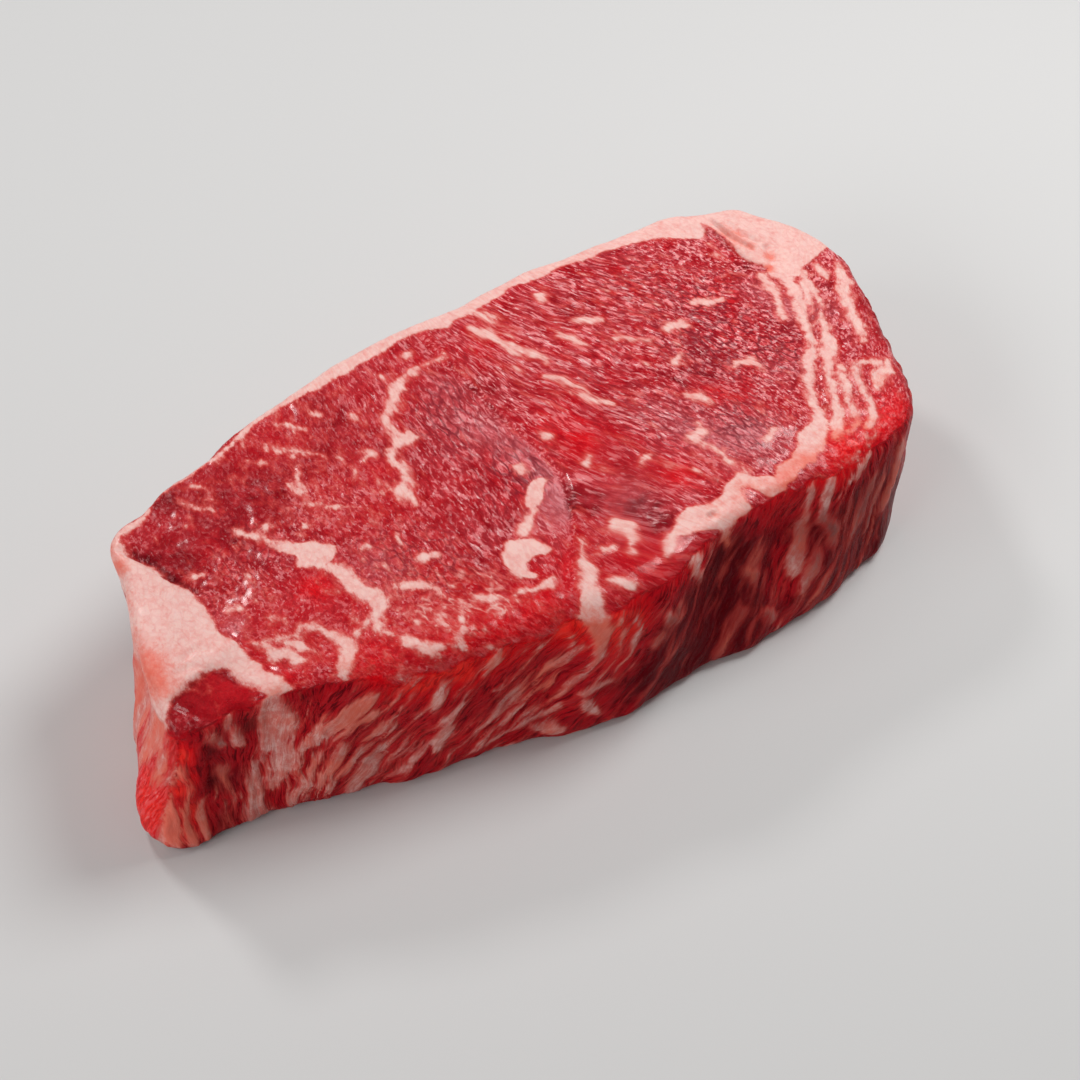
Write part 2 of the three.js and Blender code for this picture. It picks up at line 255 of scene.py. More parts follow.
@dataclass
class CutFace:
    """A face cut across the grain: the upper face, and below it the lower one.

    Places are [x, y] as seen on the upper face. The seams run down into the meat at a slant, so a
    place that lies lower reads the drawing further along.
    """

    slant: tuple[float, float] = (-0.503, -0.747)
    fat_height: float = 0.14
    grain_height: float = 0.16
    crease_step: float = 0.5
    blood_depth: float = 0.4
    fray: float = 0.85
    crisp: float = 1.9
    crease_line: Curve = ((-40, -25, -12, -2, 10, 36), (-12, -1, 4.6, 5.0, 3.6, 3.8))
    seam_line: Curve = ((-60, -30, -13, 0, 14, 50), (58, 66.5, 77, 84.5, 92, 112))
    left_lean: Curve = ((-90, -50, -15, 5), (0.3, 0.2, 0.05, 0.0))
    right_lean: Curve = ((4, 18, 45, 66), (-0.22, -0.42, -0.46, -0.36))
    round_end_lean: float = 0.6
    slowness: Curve = (
        (-90, -40, -20, 2, 12, 30, 46, 62, 80),
        (0.6, 0.5, 0.34, 0.3, 0.2, 0.2, 0.3, 0.45, 0.5),
    )
    # The milky pink rises towards the round end: partly the fibres' own colour, partly painted sheen.
    milk_and_sheen_ramp: Curve = ((-90, -30, 0, 30, 80), (0.36, 0.42, 0.52, 0.8, 0.85))
    areas: dict[str, Outline] = field(default_factory=lambda: {
        "narrow_end": (
            (-92, 23), (-88, 23.5), (-85.8, 19), (-84, 13), (-82, 7.5), (-80.3, 3), (-80.3, -5),
            (-80.8, -10), (-80, -15), (-79, -20), (-78, -24.5), (-75.6, -28), (-76, -31.5), (-79, -33.5),
            (-81.5, -28.5), (-84.3, -24.5), (-85, -20.5), (-86.5, -17.3), (-90, -17.8), (-93, -19.8),
            (-98, -19.5), (-108, -30), (-112, -10), (-104, 20),
        ),
        "back_corner": (
            (62, 45.8), (70, 44), (75, 41.5), (79, 38.6), (82, 36.6), (84, 38.5), (84.8, 42), (86, 39),
            (86.4, 33), (86.2, 27), (87.4, 21.5), (89, 18.8), (86.5, 16.2), (88, 13.5), (91, 12.5),
            (94, 11.5), (97, 13.5), (101, 15), (105.5, 16.5), (112, 20), (110, 40), (96, 48), (80, 56),
            (62, 56),
        ),
        "front_seam": (
            (14, -41), (17, -39), (19.5, -37), (23, -36.2), (26, -37.2), (28, -38.8), (31, -38.2),
            (34.5, -35), (38, -33.6), (40, -35.5), (42, -38), (44.5, -39.6), (48, -37.6), (52, -37),
            (55, -35), (57, -31.6), (60, -30.6), (64, -30.2), (66.5, -30.4), (66, -33.5), (63.5, -36.6),
            (60, -39), (55, -41), (50, -42), (46, -43.2), (42.5, -44.6), (40, -45.4), (39.5, -42),
            (38.2, -38.4), (36, -38.2), (35.2, -42), (34.5, -46.5), (29, -46.8), (24.5, -45.2),
            (20, -43.6),
        ),
        "blob_left": (
            (-59.5, 5), (-57, 5.4), (-54, 3.4), (-50.5, 1), (-47.6, -2), (-48.4, -3.6), (-50, -5),
            (-52.5, -5.4), (-56, -4.4), (-58.2, -2.6), (-57.4, 0.5),
        ),
        "islet": (
            (-7, -15.6), (-5.8, -12), (-3, -10.2), (0.4, -10.4), (1.4, -12.2), (-1.2, -14.2),
            (-3.2, -16.8), (-6, -17.4),
        ),
        "blob_middle": (
            (-21.2, -27), (-19.6, -24.6), (-17.4, -22.9), (-13.5, -23), (-11.6, -24.5), (-10.2, -27.4),
            (-9.8, -29.8), (-11.6, -30.6), (-13.4, -29.8), (-16.2, -29.6), (-17.2, -31.8),
            (-16.4, -34.6), (-18.4, -34.6), (-20.4, -32),
        ),
    })
    rind: Trace = (
        (-87, 26.6, 0.7), (-84, 28.2, 1.1), (-80.5, 28.8, 0.8), (-74, 33, 0.3), (-64, 35.4, 0.35),
        (-57, 36.4, 0.7), (-50, 39.8, 0.8), (-44, 42.4, 1.1), (-37, 43.8, 1.5), (-30, 45.8, 2.5),
        (-20, 47.6, 3.4), (-10, 49, 3.5), (-1, 49.4, 2.7), (5, 49.2, 2.9), (10, 48.4, 4.1),
        (15, 48.2, 2.8), (22, 48.6, 2.6), (30, 50.4, 3.2), (41, 50.8, 3.0), (50, 50, 2.9),
        (58, 49.2, 3.2), (66, 49, 4.2),
    )
    seams: dict[str, Trace] = field(default_factory=lambda: {
        "knob": ((-89.5, 21, 2.4), (-88, 25, 1.6), (-86, 27.2, 0.9)),
        "left_a": ((-71, 28.5, 0.25), (-69, 25.5, 0.4), (-65.5, 22, 0.3)),
        "left_b": ((-64.4, 14.5, 0.5), (-62.5, 11, 1.0), (-60.5, 7.5, 0.9), (-58.5, 5, 1.1)),
        "left_c": ((-53.5, -4.5, 1.6), (-52.4, -8, 1.5), (-51, -12, 1.9), (-49.7, -17, 2.2),
                   (-49, -20.5, 2.4), (-49.6, -23.4, 1.4), (-53, -24.8, 1.1), (-57, -26, 0.9)),
        "left_d": ((-51.5, -25, 1.0), (-52.3, -29.5, 0.9), (-50.5, -32.6, 1.1), (-48, -35.5, 1.4),
                   (-46.6, -38.6, 1.8), (-43, -39.4, 0.9)),
        "hook": ((-74, -17.4, 0.6), (-71, -18.6, 0.8), (-68, -19.6, 0.7), (-65.4, -18.4, 0.8),
                 (-62.6, -20.6, 1.1), (-60.8, -24, 1.2), (-60, -27.4, 1.7), (-61.6, -30, 1.9),
                 (-64, -32, 1.7), (-65.4, -34.6, 1.2)),
        "maze_a": ((-77.5, -16, 0.5), (-75.4, -19.6, 1.3), (-73.4, -22.4, 1.8), (-71.4, -25.4, 1.2)),
        "maze_b": ((-70.8, -20, 0.8), (-69.4, -23.4, 1.3), (-67, -25, 0.5)),
        "mid_left": ((-44.4, -19.4, 0.8), (-41.6, -21, 1.6), (-38.4, -22, 1.2), (-37, -25.6, 0.7)),
        "mid_left_b": ((-38.5, -38, 0.8), (-36.6, -35, 0.8), (-34.5, -31.5, 0.5)),
        "mid_left_c": ((-30.6, -32.4, 1.3), (-27.8, -34, 0.9)),
        "mid_left_d": ((-34, -15.6, 1.4), (-31.4, -17, 0.8)),
        "mid_left_e": ((-23.5, -36.6, 0.8), (-20.5, -37.5, 1.2), (-16, -38, 0.9), (-14, -36.4, 0.7)),
        "wave_a": ((4, 36.4, 0.6), (-1, 35.8, 0.7), (-5, 35.6, 1.2), (-8.4, 34.4, 1.0), (-11.4, 32.4, 1.3),
                   (-13.6, 30.2, 1.6), (-15.4, 27.8, 1.0), (-18.4, 25.6, 1.3), (-19.4, 22.6, 0.9),
                   (-19, 20, 1.3), (-18.4, 17.8, 2.2), (-16, 16.4, 0.6)),
        "wave_b": ((-20, 17.8, 1.6), (-22.8, 16, 1.1), (-24.2, 13, 1.0), (-23.6, 9.6, 1.3),
                   (-24.6, 6.2, 1.0), (-27.2, 4, 2.0), (-27.6, 1.4, 1.4), (-27.2, -1, 0.6)),
        "wave_c": ((-27.5, 4.6, 1.2), (-30.8, 5.6, 0.4)),
        "islet_link": ((-5.4, -16.6, 1.2), (-8, -18.4, 1.2), (-10.4, -20.4, 1.5), (-11.6, -22.6, 1.3)),
        "islet_up": ((-2, -6.4, 1.2), (-1.4, -4.6, 0.9)),
        "fold": ((-2.6, -30.4, 0.5), (-4.2, -34, 0.9), (-6, -38, 1.6), (-8, -42, 2.2), (-10.8, -46, 2.7),
                 (-13, -50.5, 3.2), (-14.5, -57, 3.4)),
        "fold_side": ((-4.4, -44.6, 1.0), (-2.2, -46.4, 1.7), (-0.6, -48.2, 1.2)),
        "mid_right": ((6.4, -30.6, 1.6), (7.4, -33.4, 2.5), (7, -36, 1.9), (4.6, -38.4, 1.2),
                      (4.4, -40.6, 0.9)),
        "mid_right_b": ((10.4, -45, 1.0), (12.4, -43, 1.5), (14.6, -41.6, 1.3)),
        "mid_right_c": ((-1.6, -36.4, 0.8), (1.4, -36.2, 1.0)),
        "seam": ((65.6, -30.4, 1.5), (67.6, -27, 1.3), (69.6, -22.6, 1.2), (72.6, -17.4, 1.3),
                 (76.4, -13.4, 1.6), (80, -9.4, 1.2), (82.6, -5, 1.1), (84, -0.4, 1.8), (86.4, 4.4, 1.3),
                 (89, 9.4, 1.5), (92, 13.4, 1.5)),
        "seam_up": ((80, 1.6, 1.2), (82.2, 6, 1.0), (84.6, 10.4, 0.7)),
        "stripe_a": ((65, -37.6, 0.9), (68.4, -33.6, 1.7), (71, -30.6, 1.8), (73.6, -26, 1.1),
                     (77, -19.6, 1.3), (80.4, -14.8, 2.0), (84, -10.8, 2.1), (86.6, -6.4, 1.6),
                     (88, -2.4, 0.7)),
        "stripe_b": ((68.4, -37.6, 0.8), (71.4, -36.4, 0.7), (74, -33.6, 0.8), (75.8, -28.4, 1.2),
                     (77.8, -24, 1.2), (80.2, -20, 0.9)),
        "stripe_c": ((73, -39, 1.2), (77, -37, 1.6), (79, -32.4, 1.5), (79.8, -28, 0.9), (81, -24, 0.9),
                     (84, -20.4, 0.7)),
        "stripe_d": ((84.6, -30, 1.6), (87, -28, 2.2), (89.6, -27, 1.6), (91.6, -25, 0.9)),
        "stripe_e": ((85.4, -21.4, 1.4), (88, -22.4, 1.3), (89, -24.6, 0.8)),
        "stripe_f": ((92.6, -15, 1.2), (94.6, -10, 2.0), (96.6, -4.4, 1.8), (99.2, 0.6, 1.6),
                     (102.2, 4.4, 1.6), (104.4, 9, 1.2)),
        "stripe_g": ((87, 0, 1.0), (90.4, 5, 1.3), (93.4, 9, 1.8)),
        "pale_a": ((85.6, 17, 1.6), (84.4, 11, 1.5), (82.6, 6, 1.0)),
        "pale_b": ((90, 12.4, 2.2), (88.4, 7, 1.7), (86.4, 1.6, 1.2)),
        "pale_c": ((94.6, 11, 1.4), (92.4, 4.6, 1.0), (91, -0.6, 0.8)),
        "pale_d": ((100.4, 12, 1.2), (98.6, 8, 0.7)),
        "back_a": ((14.4, 41, 0.7), (16.4, 38, 1.6), (17.8, 33.6, 1.2), (19.8, 28.4, 1.3), (22.4, 24, 1.3),
                   (23.4, 21, 0.7)),
        "back_b": ((20.4, 17, 0.5), (22.4, 13.8, 1.2), (24, 8.8, 1.0), (25.6, 3, 1.1), (27.4, 0.4, 0.6)),
        "back_c": ((21.6, 41, 0.8), (22.6, 39.2, 0.8)),
        "back_d": ((31, 27, 0.6), (32.8, 24, 1.3), (33.6, 21, 1.3)),
        "back_e": ((35.6, 41.8, 1.5), (34, 39.8, 0.7)),
        "back_f": ((37.6, 29, 0.6), (39.6, 27.4, 1.0), (42, 26, 1.2)),
        "back_g": ((42.4, 18, 1.0), (45.4, 15.6, 1.2), (48.6, 13, 0.7)),
        "back_h": ((54.4, 14.6, 1.3), (57.6, 13.4, 1.3), (59.4, 11.8, 0.7)),
        "back_i": ((66, 18.4, 0.9), (68.4, 16.4, 1.4), (71, 15.2, 1.0)),
        "right_a": ((44.6, -7, 1.0), (46.8, -9.6, 1.4), (47, -12, 0.8)),
        "right_b": ((37, -19.6, 1.6), (40, -18.6, 1.4), (40.8, -15.8, 0.5)),
        "right_c": ((37.4, -23, 0.6), (38.6, -27, 0.7), (39.4, -31, 0.8), (40, -34.6, 1.0)),
        "right_d": ((60.4, -5.6, 1.0), (64, -6.6, 1.3), (65.6, -8.6, 0.6)),
        "right_e": ((48.6, 3.6, 0.9), (51, 5, 0.6)),
        "right_f": ((51.6, -29, 1.0), (53.4, -27.6, 0.9)),
        "crumb_a": ((9.6, 0.8, 1.0), (10.4, 0.2, 0.9)),
        "crumb_b": ((12, -12.4, 1.0), (13.4, -11.4, 0.7)),
        "crumb_c": ((22, -19.4, 0.9), (24, -18.6, 1.1)),
        "crumb_d": ((-76, -5.4, 0.9), (-74.6, -6.4, 1.2)),
        "crumb_e": ((-78.4, 7, 0.8), (-76.8, 6.4, 1.0)),
        "crumb_f": ((-59, 10.6, 0.8), (-57.8, 11, 0.8)),
        "crumb_g": ((-43.6, 8.8, 0.9), (-42.4, 7.8, 1.1)),
        "crumb_h": ((-4.4, 41, 1.1), (-2.6, 41.4, 0.8)),
        "net_a": ((-46.4, 34, 0.3), (-44, 30, 0.55), (-41.4, 28.4, 0.5), (-38.4, 25.2, 0.4),
                  (-36.6, 23, 0.3)),
        "net_b": ((-41.6, 28.6, 0.45), (-40.4, 25.6, 0.4)),
        "net_c": ((-40.6, 38.4, 0.3), (-38, 36.4, 0.45), (-36, 33.4, 0.3)),
        "net_d": ((-52.4, 31.6, 0.3), (-50, 29.8, 0.5), (-47.8, 29.4, 0.3)),
        "net_e": ((-33.6, 40.4, 0.3), (-32.4, 37.4, 0.45), (-31, 35.4, 0.3)),
        "net_f": ((-47.8, 19.4, 0.5), (-46.6, 16.6, 0.8), (-45.4, 18.6, 0.6)),
        "net_g": ((-66, 30.8, 0.5), (-64.6, 29.4, 0.6)),
        "net_h": ((-24.6, 31.4, 0.6), (-23.8, 30, 0.6)),
        "net_i": ((-28.8, 19.4, 0.4), (-27.6, 17.4, 0.6), (-29.6, 16.8, 0.3)),
    })
    blood: dict[str, Outline] = field(default_factory=lambda: {
        "flap": ((-99.5, -21), (-96, -19.8), (-92.5, -18.6), (-87.4, -17.6), (-85.4, -21), (-84.4, -24.6),
                 (-81.4, -27.4), (-82.6, -31), (-88, -31.5), (-95, -30)),
    })
    # Most spots are the lean's own colour. (-64, 26) and (-40, 30) darken the back of the left part, and
    # (4, -21) the crease's lower end: painted shade.
    tone_and_shading_spots: tuple[Spot, ...] = (
        (29, -28, 8, 0.7), (15, -2, 8, 0.45), (17, -10, 7, 0.3), (-28, 12, 3.5, 0.5), (52, -9, 5, 0.5),
        (-58, -9, 4, 0.6), (-62, -38, 10, 0.5), (-40, -42, 12, 0.5), (62, -42, 10, 0.9),
        (85, 27, 3, 0.9), (84.6, 35, 2, 0.9), (74, 17, 4, 0.4), (38, -41, 3, 0.6), (84, -34, 7, 0.2),
        (14, -34, 6, -0.45), (4, -21, 6, -0.5), (80, -40, 8, 0.7), (-22, -44, 10, 0.6), (6, -48, 8, 0.5),
        (-5, 39, 4, 0.4), (13, 33, 6, 0.3), (-64, 26, 15, -0.3), (-40, 30, 14, -0.2), (-58, 15, 6, 0.35),
        (-74, -30, 5, 0.5), (8, 8, 5, 0.25), (-91, -24, 7, -0.15),
    )
    # Spots of the dull purple sheen: painted sheen.
    sheens: tuple[Spot, ...] = (
        (-1, 8, 5, 0.5), (1, -1, 4.5, 0.7), (2, -9, 4.5, 0.8), (1, -17, 4, 0.8), (-6, 15, 6, 0.35),
        (-2, 25, 5, 0.3), (-2, -22, 6, 0.6), (44, -24, 7, 0.6), (38, -18, 5, 0.5), (50, -27, 6, 0.45),
        (-44, -12, 6, 0.3), (-78, -10, 3, 0.4), (84, 3, 4, 0.6), (70, -12, 5, 0.3), (90, -1, 5, 0.3),
        (14, -26, 6, 0.3), (36, -10, 6, 0.3), (82, 12, 4, 0.4),
    )
    salmons: tuple[Spot, ...] = (
        (-98, 0, 4, 0.6), (-98, -8, 5, 0.7), (-98.5, -16, 5, 0.8), (-95, 9, 4, 0.5), (-91, 19, 3, 0.8),
        (-91, 26, 3, 0.8), (-80, -31.5, 3, 0.8), (-77, -28, 3, 0.3), (46, -44, 4, 0.8),
        (56, -42.5, 4, 0.9), (64, -38, 4, 0.7), (30, -46, 4, 0.4), (72, -38, 4, 0.6), (-13, -50, 4, 0.5),
        (92, 22, 2, 0.8), (88.5, 18, 1.8, 1.0), (-60, -34, 5, 0.5), (-47, -39, 4, 0.4), (86, -30, 3, 0.4),
        (20, -44, 3, 0.3), (38, -41, 6, 0.55), (52, -38, 6, 0.55), (27, -40, 5, 0.3), (88, 36, 2.6, 0.5),
        (88.6, 31, 2.6, 0.5), (90, 27.4, 2.2, 0.5), (91, 33, 2, 0.4),
    )
    speckles: tuple[Spot, ...] = (
        (-74, 4, 9, 0.8), (-67, -6, 8, 0.5), (-45, 12, 14, 0.7), (-38, -8, 14, 0.6), (-20, 35, 14, 0.35),
        (-40, 34, 14, 0.55), (-40, -32, 14, 1.0), (-24, -34, 10, 0.9), (4, -40, 12, 0.5),
        (-70, -22, 8, 0.8),
        (24, 20, 12, 0.5), (40, 34, 14, 0.55), (60, 30, 16, 0.6), (45, 5, 12, 0.5), (70, 0, 10, 0.35),
        (-60, -32, 8, 0.6), (96, 0, 10, 0.5), (22, 42, 8, 0.5), (16, -14, 7, 0.35), (30, -4, 8, 0.4),
    )
    wrinkles: tuple[Spot, ...] = (
        (-8, 14, 9, 0.8), (0, -4, 8, 0.9), (-8, -10, 8, 0.6), (-3, 26, 8, 0.6), (-40, -12, 12, 0.5),
        (60, 4, 14, 0.8), (70, 18, 10, 0.6), (48, -22, 9, 0.9), (74, -6, 9, 0.8), (30, 10, 14, 0.35),
        (-62, 12, 12, 0.4), (-72, 2, 8, 0.4), (55, 34, 14, 0.5), (34, -12, 9, 0.6), (-30, -22, 9, 0.5),
    )
    # The spots towards the round end add painted sheen. (-60, 24) and (-34, 30) take milkiness from the
    # back of the left part, with the painted shade there.
    milk_and_sheen_spots: tuple[Spot, ...] = (
        (16, -6, 9, -0.45), (28, -27, 8, -0.5), (4, -40, 14, -0.4), (-28, 12, 4, -0.4),
        (-78, 10, 7, -0.4), (52, -9, 6, -0.4), (-45, 12, 12, 0.2), (-72, 3, 9, 0.3), (62, 22, 18, 0.2),
        (-58, -9, 5, -0.3), (-62, -38, 9, -0.4), (-42, -41, 12, -0.45), (-20, -43, 9, -0.35),
        (62, -43, 10, -0.6), (80, -42, 8, -0.5), (14, -32, 6, -0.2),
        (92, 3, 8, 0.4), (99, 14, 7, 0.4), (78, 26, 8, 0.3), (-60, 24, 18, -0.35), (-34, 30, 14, -0.2),
        (-6, 16, 9, 0.25), (0, -8, 8, 0.3), (16, -20, 8, -0.3), (56, -20, 9, -0.3),
    )
    grooves: dict[str, tuple[Trace, float]] = field(default_factory=lambda: {
        "crease": (((4, 36, 0.1), (3.4, 24, 0.2), (3.8, 10, 0.3), (5.2, -2, 0.4), (5, -12, 0.5),
                    (2.4, -20, 0.4), (-1, -24, 0.2)), 0.45),
        "torn_fat": (((93.6, 25.4, 0.2), (92.6, 22, 0.6), (90.8, 19.2, 0.3)), 0.9),
        "fold_a": (((87.6, 41, 0.2), (88, 34, 0.4), (90, 26.6, 0.2)), 0.9),
        "fold_b": (((90.6, 38, 0.2), (91, 32, 0.35), (92.6, 27.4, 0.2)), 0.8),
        "red_crevice": (((84.6, 38, 0.5), (84.8, 30, 1.1), (84.6, 24, 1.2), (87.6, 18.6, 0.6)), 0.7),
        "fat_gap": (((-87.6, 23, 0.4), (-84.8, 17.6, 0.7), (-82.8, 10.4, 0.5), (-80.2, 3, 0.3)), 0.8),
        "seam_gap": (((67.4, -31.4, 0.3), (71.4, -22.6, 0.4), (78.4, -13.4, 0.4), (84.6, -5, 0.4),
                      (88.4, 4.4, 0.3)), 0.5),
        "pit": (((25.6, -41.2, 0.5), (26.2, -41.2, 0.5)), 1.0),
        "flap_edge": (((-99, -20.6, 0.4), (-92.6, -18.6, 0.5), (-87, -17.4, 0.5), (-84.6, -23.6, 0.5),
                       (-81, -27, 0.4)), 0.3),
        "crack_a": (((-91, -12, 0.2), (-87.4, -11, 0.4), (-85.2, -13, 0.2)), 0.35),
        "crack_b": (((-94, -14.6, 0.2), (-90.6, -14.8, 0.35), (-88.8, -15.8, 0.2)), 0.3),
        "fibre_a": (((30.6, -7.6, 0.2), (33, -13, 0.5), (35.6, -15.8, 0.2)), 0.45),
        "fibre_b": (((50, -1, 0.2), (54, -6, 0.5), (57.4, -9.6, 0.2)), 0.45),
        "fibre_c": (((43, 4, 0.2), (46, -3, 0.5), (45.6, -6.6, 0.2)), 0.4),
    })

    def drawing(self, points: np.ndarray) -> np.ndarray:
        """Where each point reads the drawing of the face, two columns."""
        depth = (THICKNESS - points[:, 2])[:, None]
        return points[:, :2] + depth * np.array(self.slant)

    def fat_edge(self, places: np.ndarray, points: np.ndarray) -> np.ndarray:
        """Millimetres to the nearest drawn fat.

        Args:
            places: Where each point reads the drawing.
            points: The points themselves.

        Returns:
            Distances, negative inside fat.
        """
        wander = np.stack([lumps(points, (4.4, 4.4, 9), 3, 2), lumps(points, (4.4, 4.4, 9), 4, 2)], 1)
        frayed = places + self.fray * wander
        edge = np.full(len(points), FAR_OFF)
        for outline in self.areas.values():
            edge = np.minimum(edge, self.crisp * area_edge(frayed, outline))
        edge = np.minimum(edge, self.crisp * trace_edge(frayed, self.rind))
        for trace in self.seams.values():
            edge = np.minimum(edge, trace_edge(frayed, trace))
        for outline in self.blood.values():
            edge = np.maximum(edge, -area_edge(frayed, outline))
        return edge + 0.5 * lumps(points, (2.6, 2.6, 5), 7, 2)

    def flecks(self, places: np.ndarray, grain: np.ndarray) -> np.ndarray:
        """Chance flecks of fat, drawn out along the grain.

        Args:
            places: Where each point reads the drawing.
            grain: The points in the grain's own directions.

        Returns:
            Distances to the flecks, negative inside them.
        """
        chance = lumps(grain, (1.7, 1.7, 2), 11, 2) + 0.5 * lumps(grain, (5, 6, 6), 12)
        few = 1.2 - 0.4 * np.clip(spot_sum(places, self.speckles), 0, 1.2)
        return np.clip((few - chance) * 1.8, -1.2, 3)

    def grain(self, places: np.ndarray, points: np.ndarray) -> np.ndarray:
        """The points in the grain's own directions.

        Args:
            places: Where each point reads the drawing.
            points: The points themselves.

        Returns:
            Three columns: across the grain, along it, and into the meat.
        """
        x, y = places[:, 0], places[:, 1]
        left_lean = np.interp(x, *self.left_lean)
        right_lean = np.interp(x, *self.right_lean)
        beyond_crease = np.where(x < self.seam(y), right_lean, self.round_end_lean)
        lean = np.where(x < self.crease(y), left_lean, beyond_crease)
        slow = np.interp(x, *self.slowness)
        wavy = 1.0 * lumps(points, (9, 9, 9), 5) + 0.35 * lumps(points, (3.4, 3.4, 3.4), 6)
        across = (x - lean * (y - 5)) / np.hypot(1, lean) + wavy
        return np.stack([across, (y + lean * x) * slow, points[:, 2] * DEPTH_SLOWNESS], 1)

    def crease(self, y: np.ndarray) -> np.ndarray:
        """Where the crease between the two muscles lies along x."""
        return np.interp(y, *self.crease_line)

    def seam(self, y: np.ndarray) -> np.ndarray:
        """Where the seam before the round end lies along x."""
        return np.interp(y, *self.seam_line)

    def read(self, points: np.ndarray) -> Surface:
        """What the face says about points.

        Args:
            points: Places on the steak.

        Returns:
            The face's surface.
        """
        places = self.drawing(points)
        grain = self.grain(places, points)
        edge = np.minimum(self.fat_edge(places, points), self.flecks(places, grain))
        fat = ease(edge, 0.7, -0.5)
        x, y = places[:, 0], places[:, 1]
        from_crease = self.crease(y) - x
        calm = ease(np.minimum(np.abs(from_crease), np.abs(self.seam(y) - x)), 0.7, 1.8)
        fibres = lumps(grain, (1.4, 1.4, 2), 21, 2) + 0.8 * lumps(grain, (3, 3, 3), 22)
        relief = self.fat_height * (fat - 0.5) + self.grain_height * fibres * (1 - 0.6 * fat) * calm
        cuts = self.grooves.values()
        sunk = sum(depth * ease(trace_edge(places, trace), 0.9, -0.2) for trace, depth in cuts)
        relief -= sunk
        step = ease(from_crease, -0.6, 0.8) * ease(from_crease, 9, 2) * ease(np.abs(y - 6), 30, 14)
        relief += self.crease_step * step
        blood = sum(ease(area_edge(places, outline), 0.8, -0.8) for outline in self.blood.values())
        relief -= self.blood_depth * blood
        # The grooves also darken the lean in them: painted shade.
        tone = spot_sum(places, self.tone_and_shading_spots) + 0.35 * lumps(points, (14, 17, 15), 31, 2) - 0.8 * sunk
        wrinkles = 0.12 + spot_sum(places, self.wrinkles)
        sheen = np.clip(spot_sum(places, self.sheens), 0, 1)
        sheen *= 1 - ease(-from_crease, -0.6, 0.3) * ease(-from_crease, 10, 6)
        haze = np.interp(x, *self.milk_and_sheen_ramp)
        haze = haze + spot_sum(places, self.milk_and_sheen_spots) + 0.2 * lumps(points, (8, 8, 8), 34, 2)
        haze -= 0.5 * ease(points[:, 2], THICKNESS - 1, THICKNESS - 3)
        salmon = spot_sum(places, self.salmons) + 0.12 * lumps(points, (7, 9, 8), 33, 2)
        return Surface(
            grain=grain,
            fat_edge=edge,
            relief=relief,
            tone=tone,
            salmon=np.clip(salmon, 0, 1),
            haze=np.clip(haze, 0.15, 1) * (1 - blood),
            marbling=np.clip(spot_sum(places, self.speckles), 0, 1) * (1 - blood),
            sheen=sheen * (1 - blood),
            wrinkles=np.clip(wrinkles, 0, 1) * (1 - blood),
            calm=calm,
        )


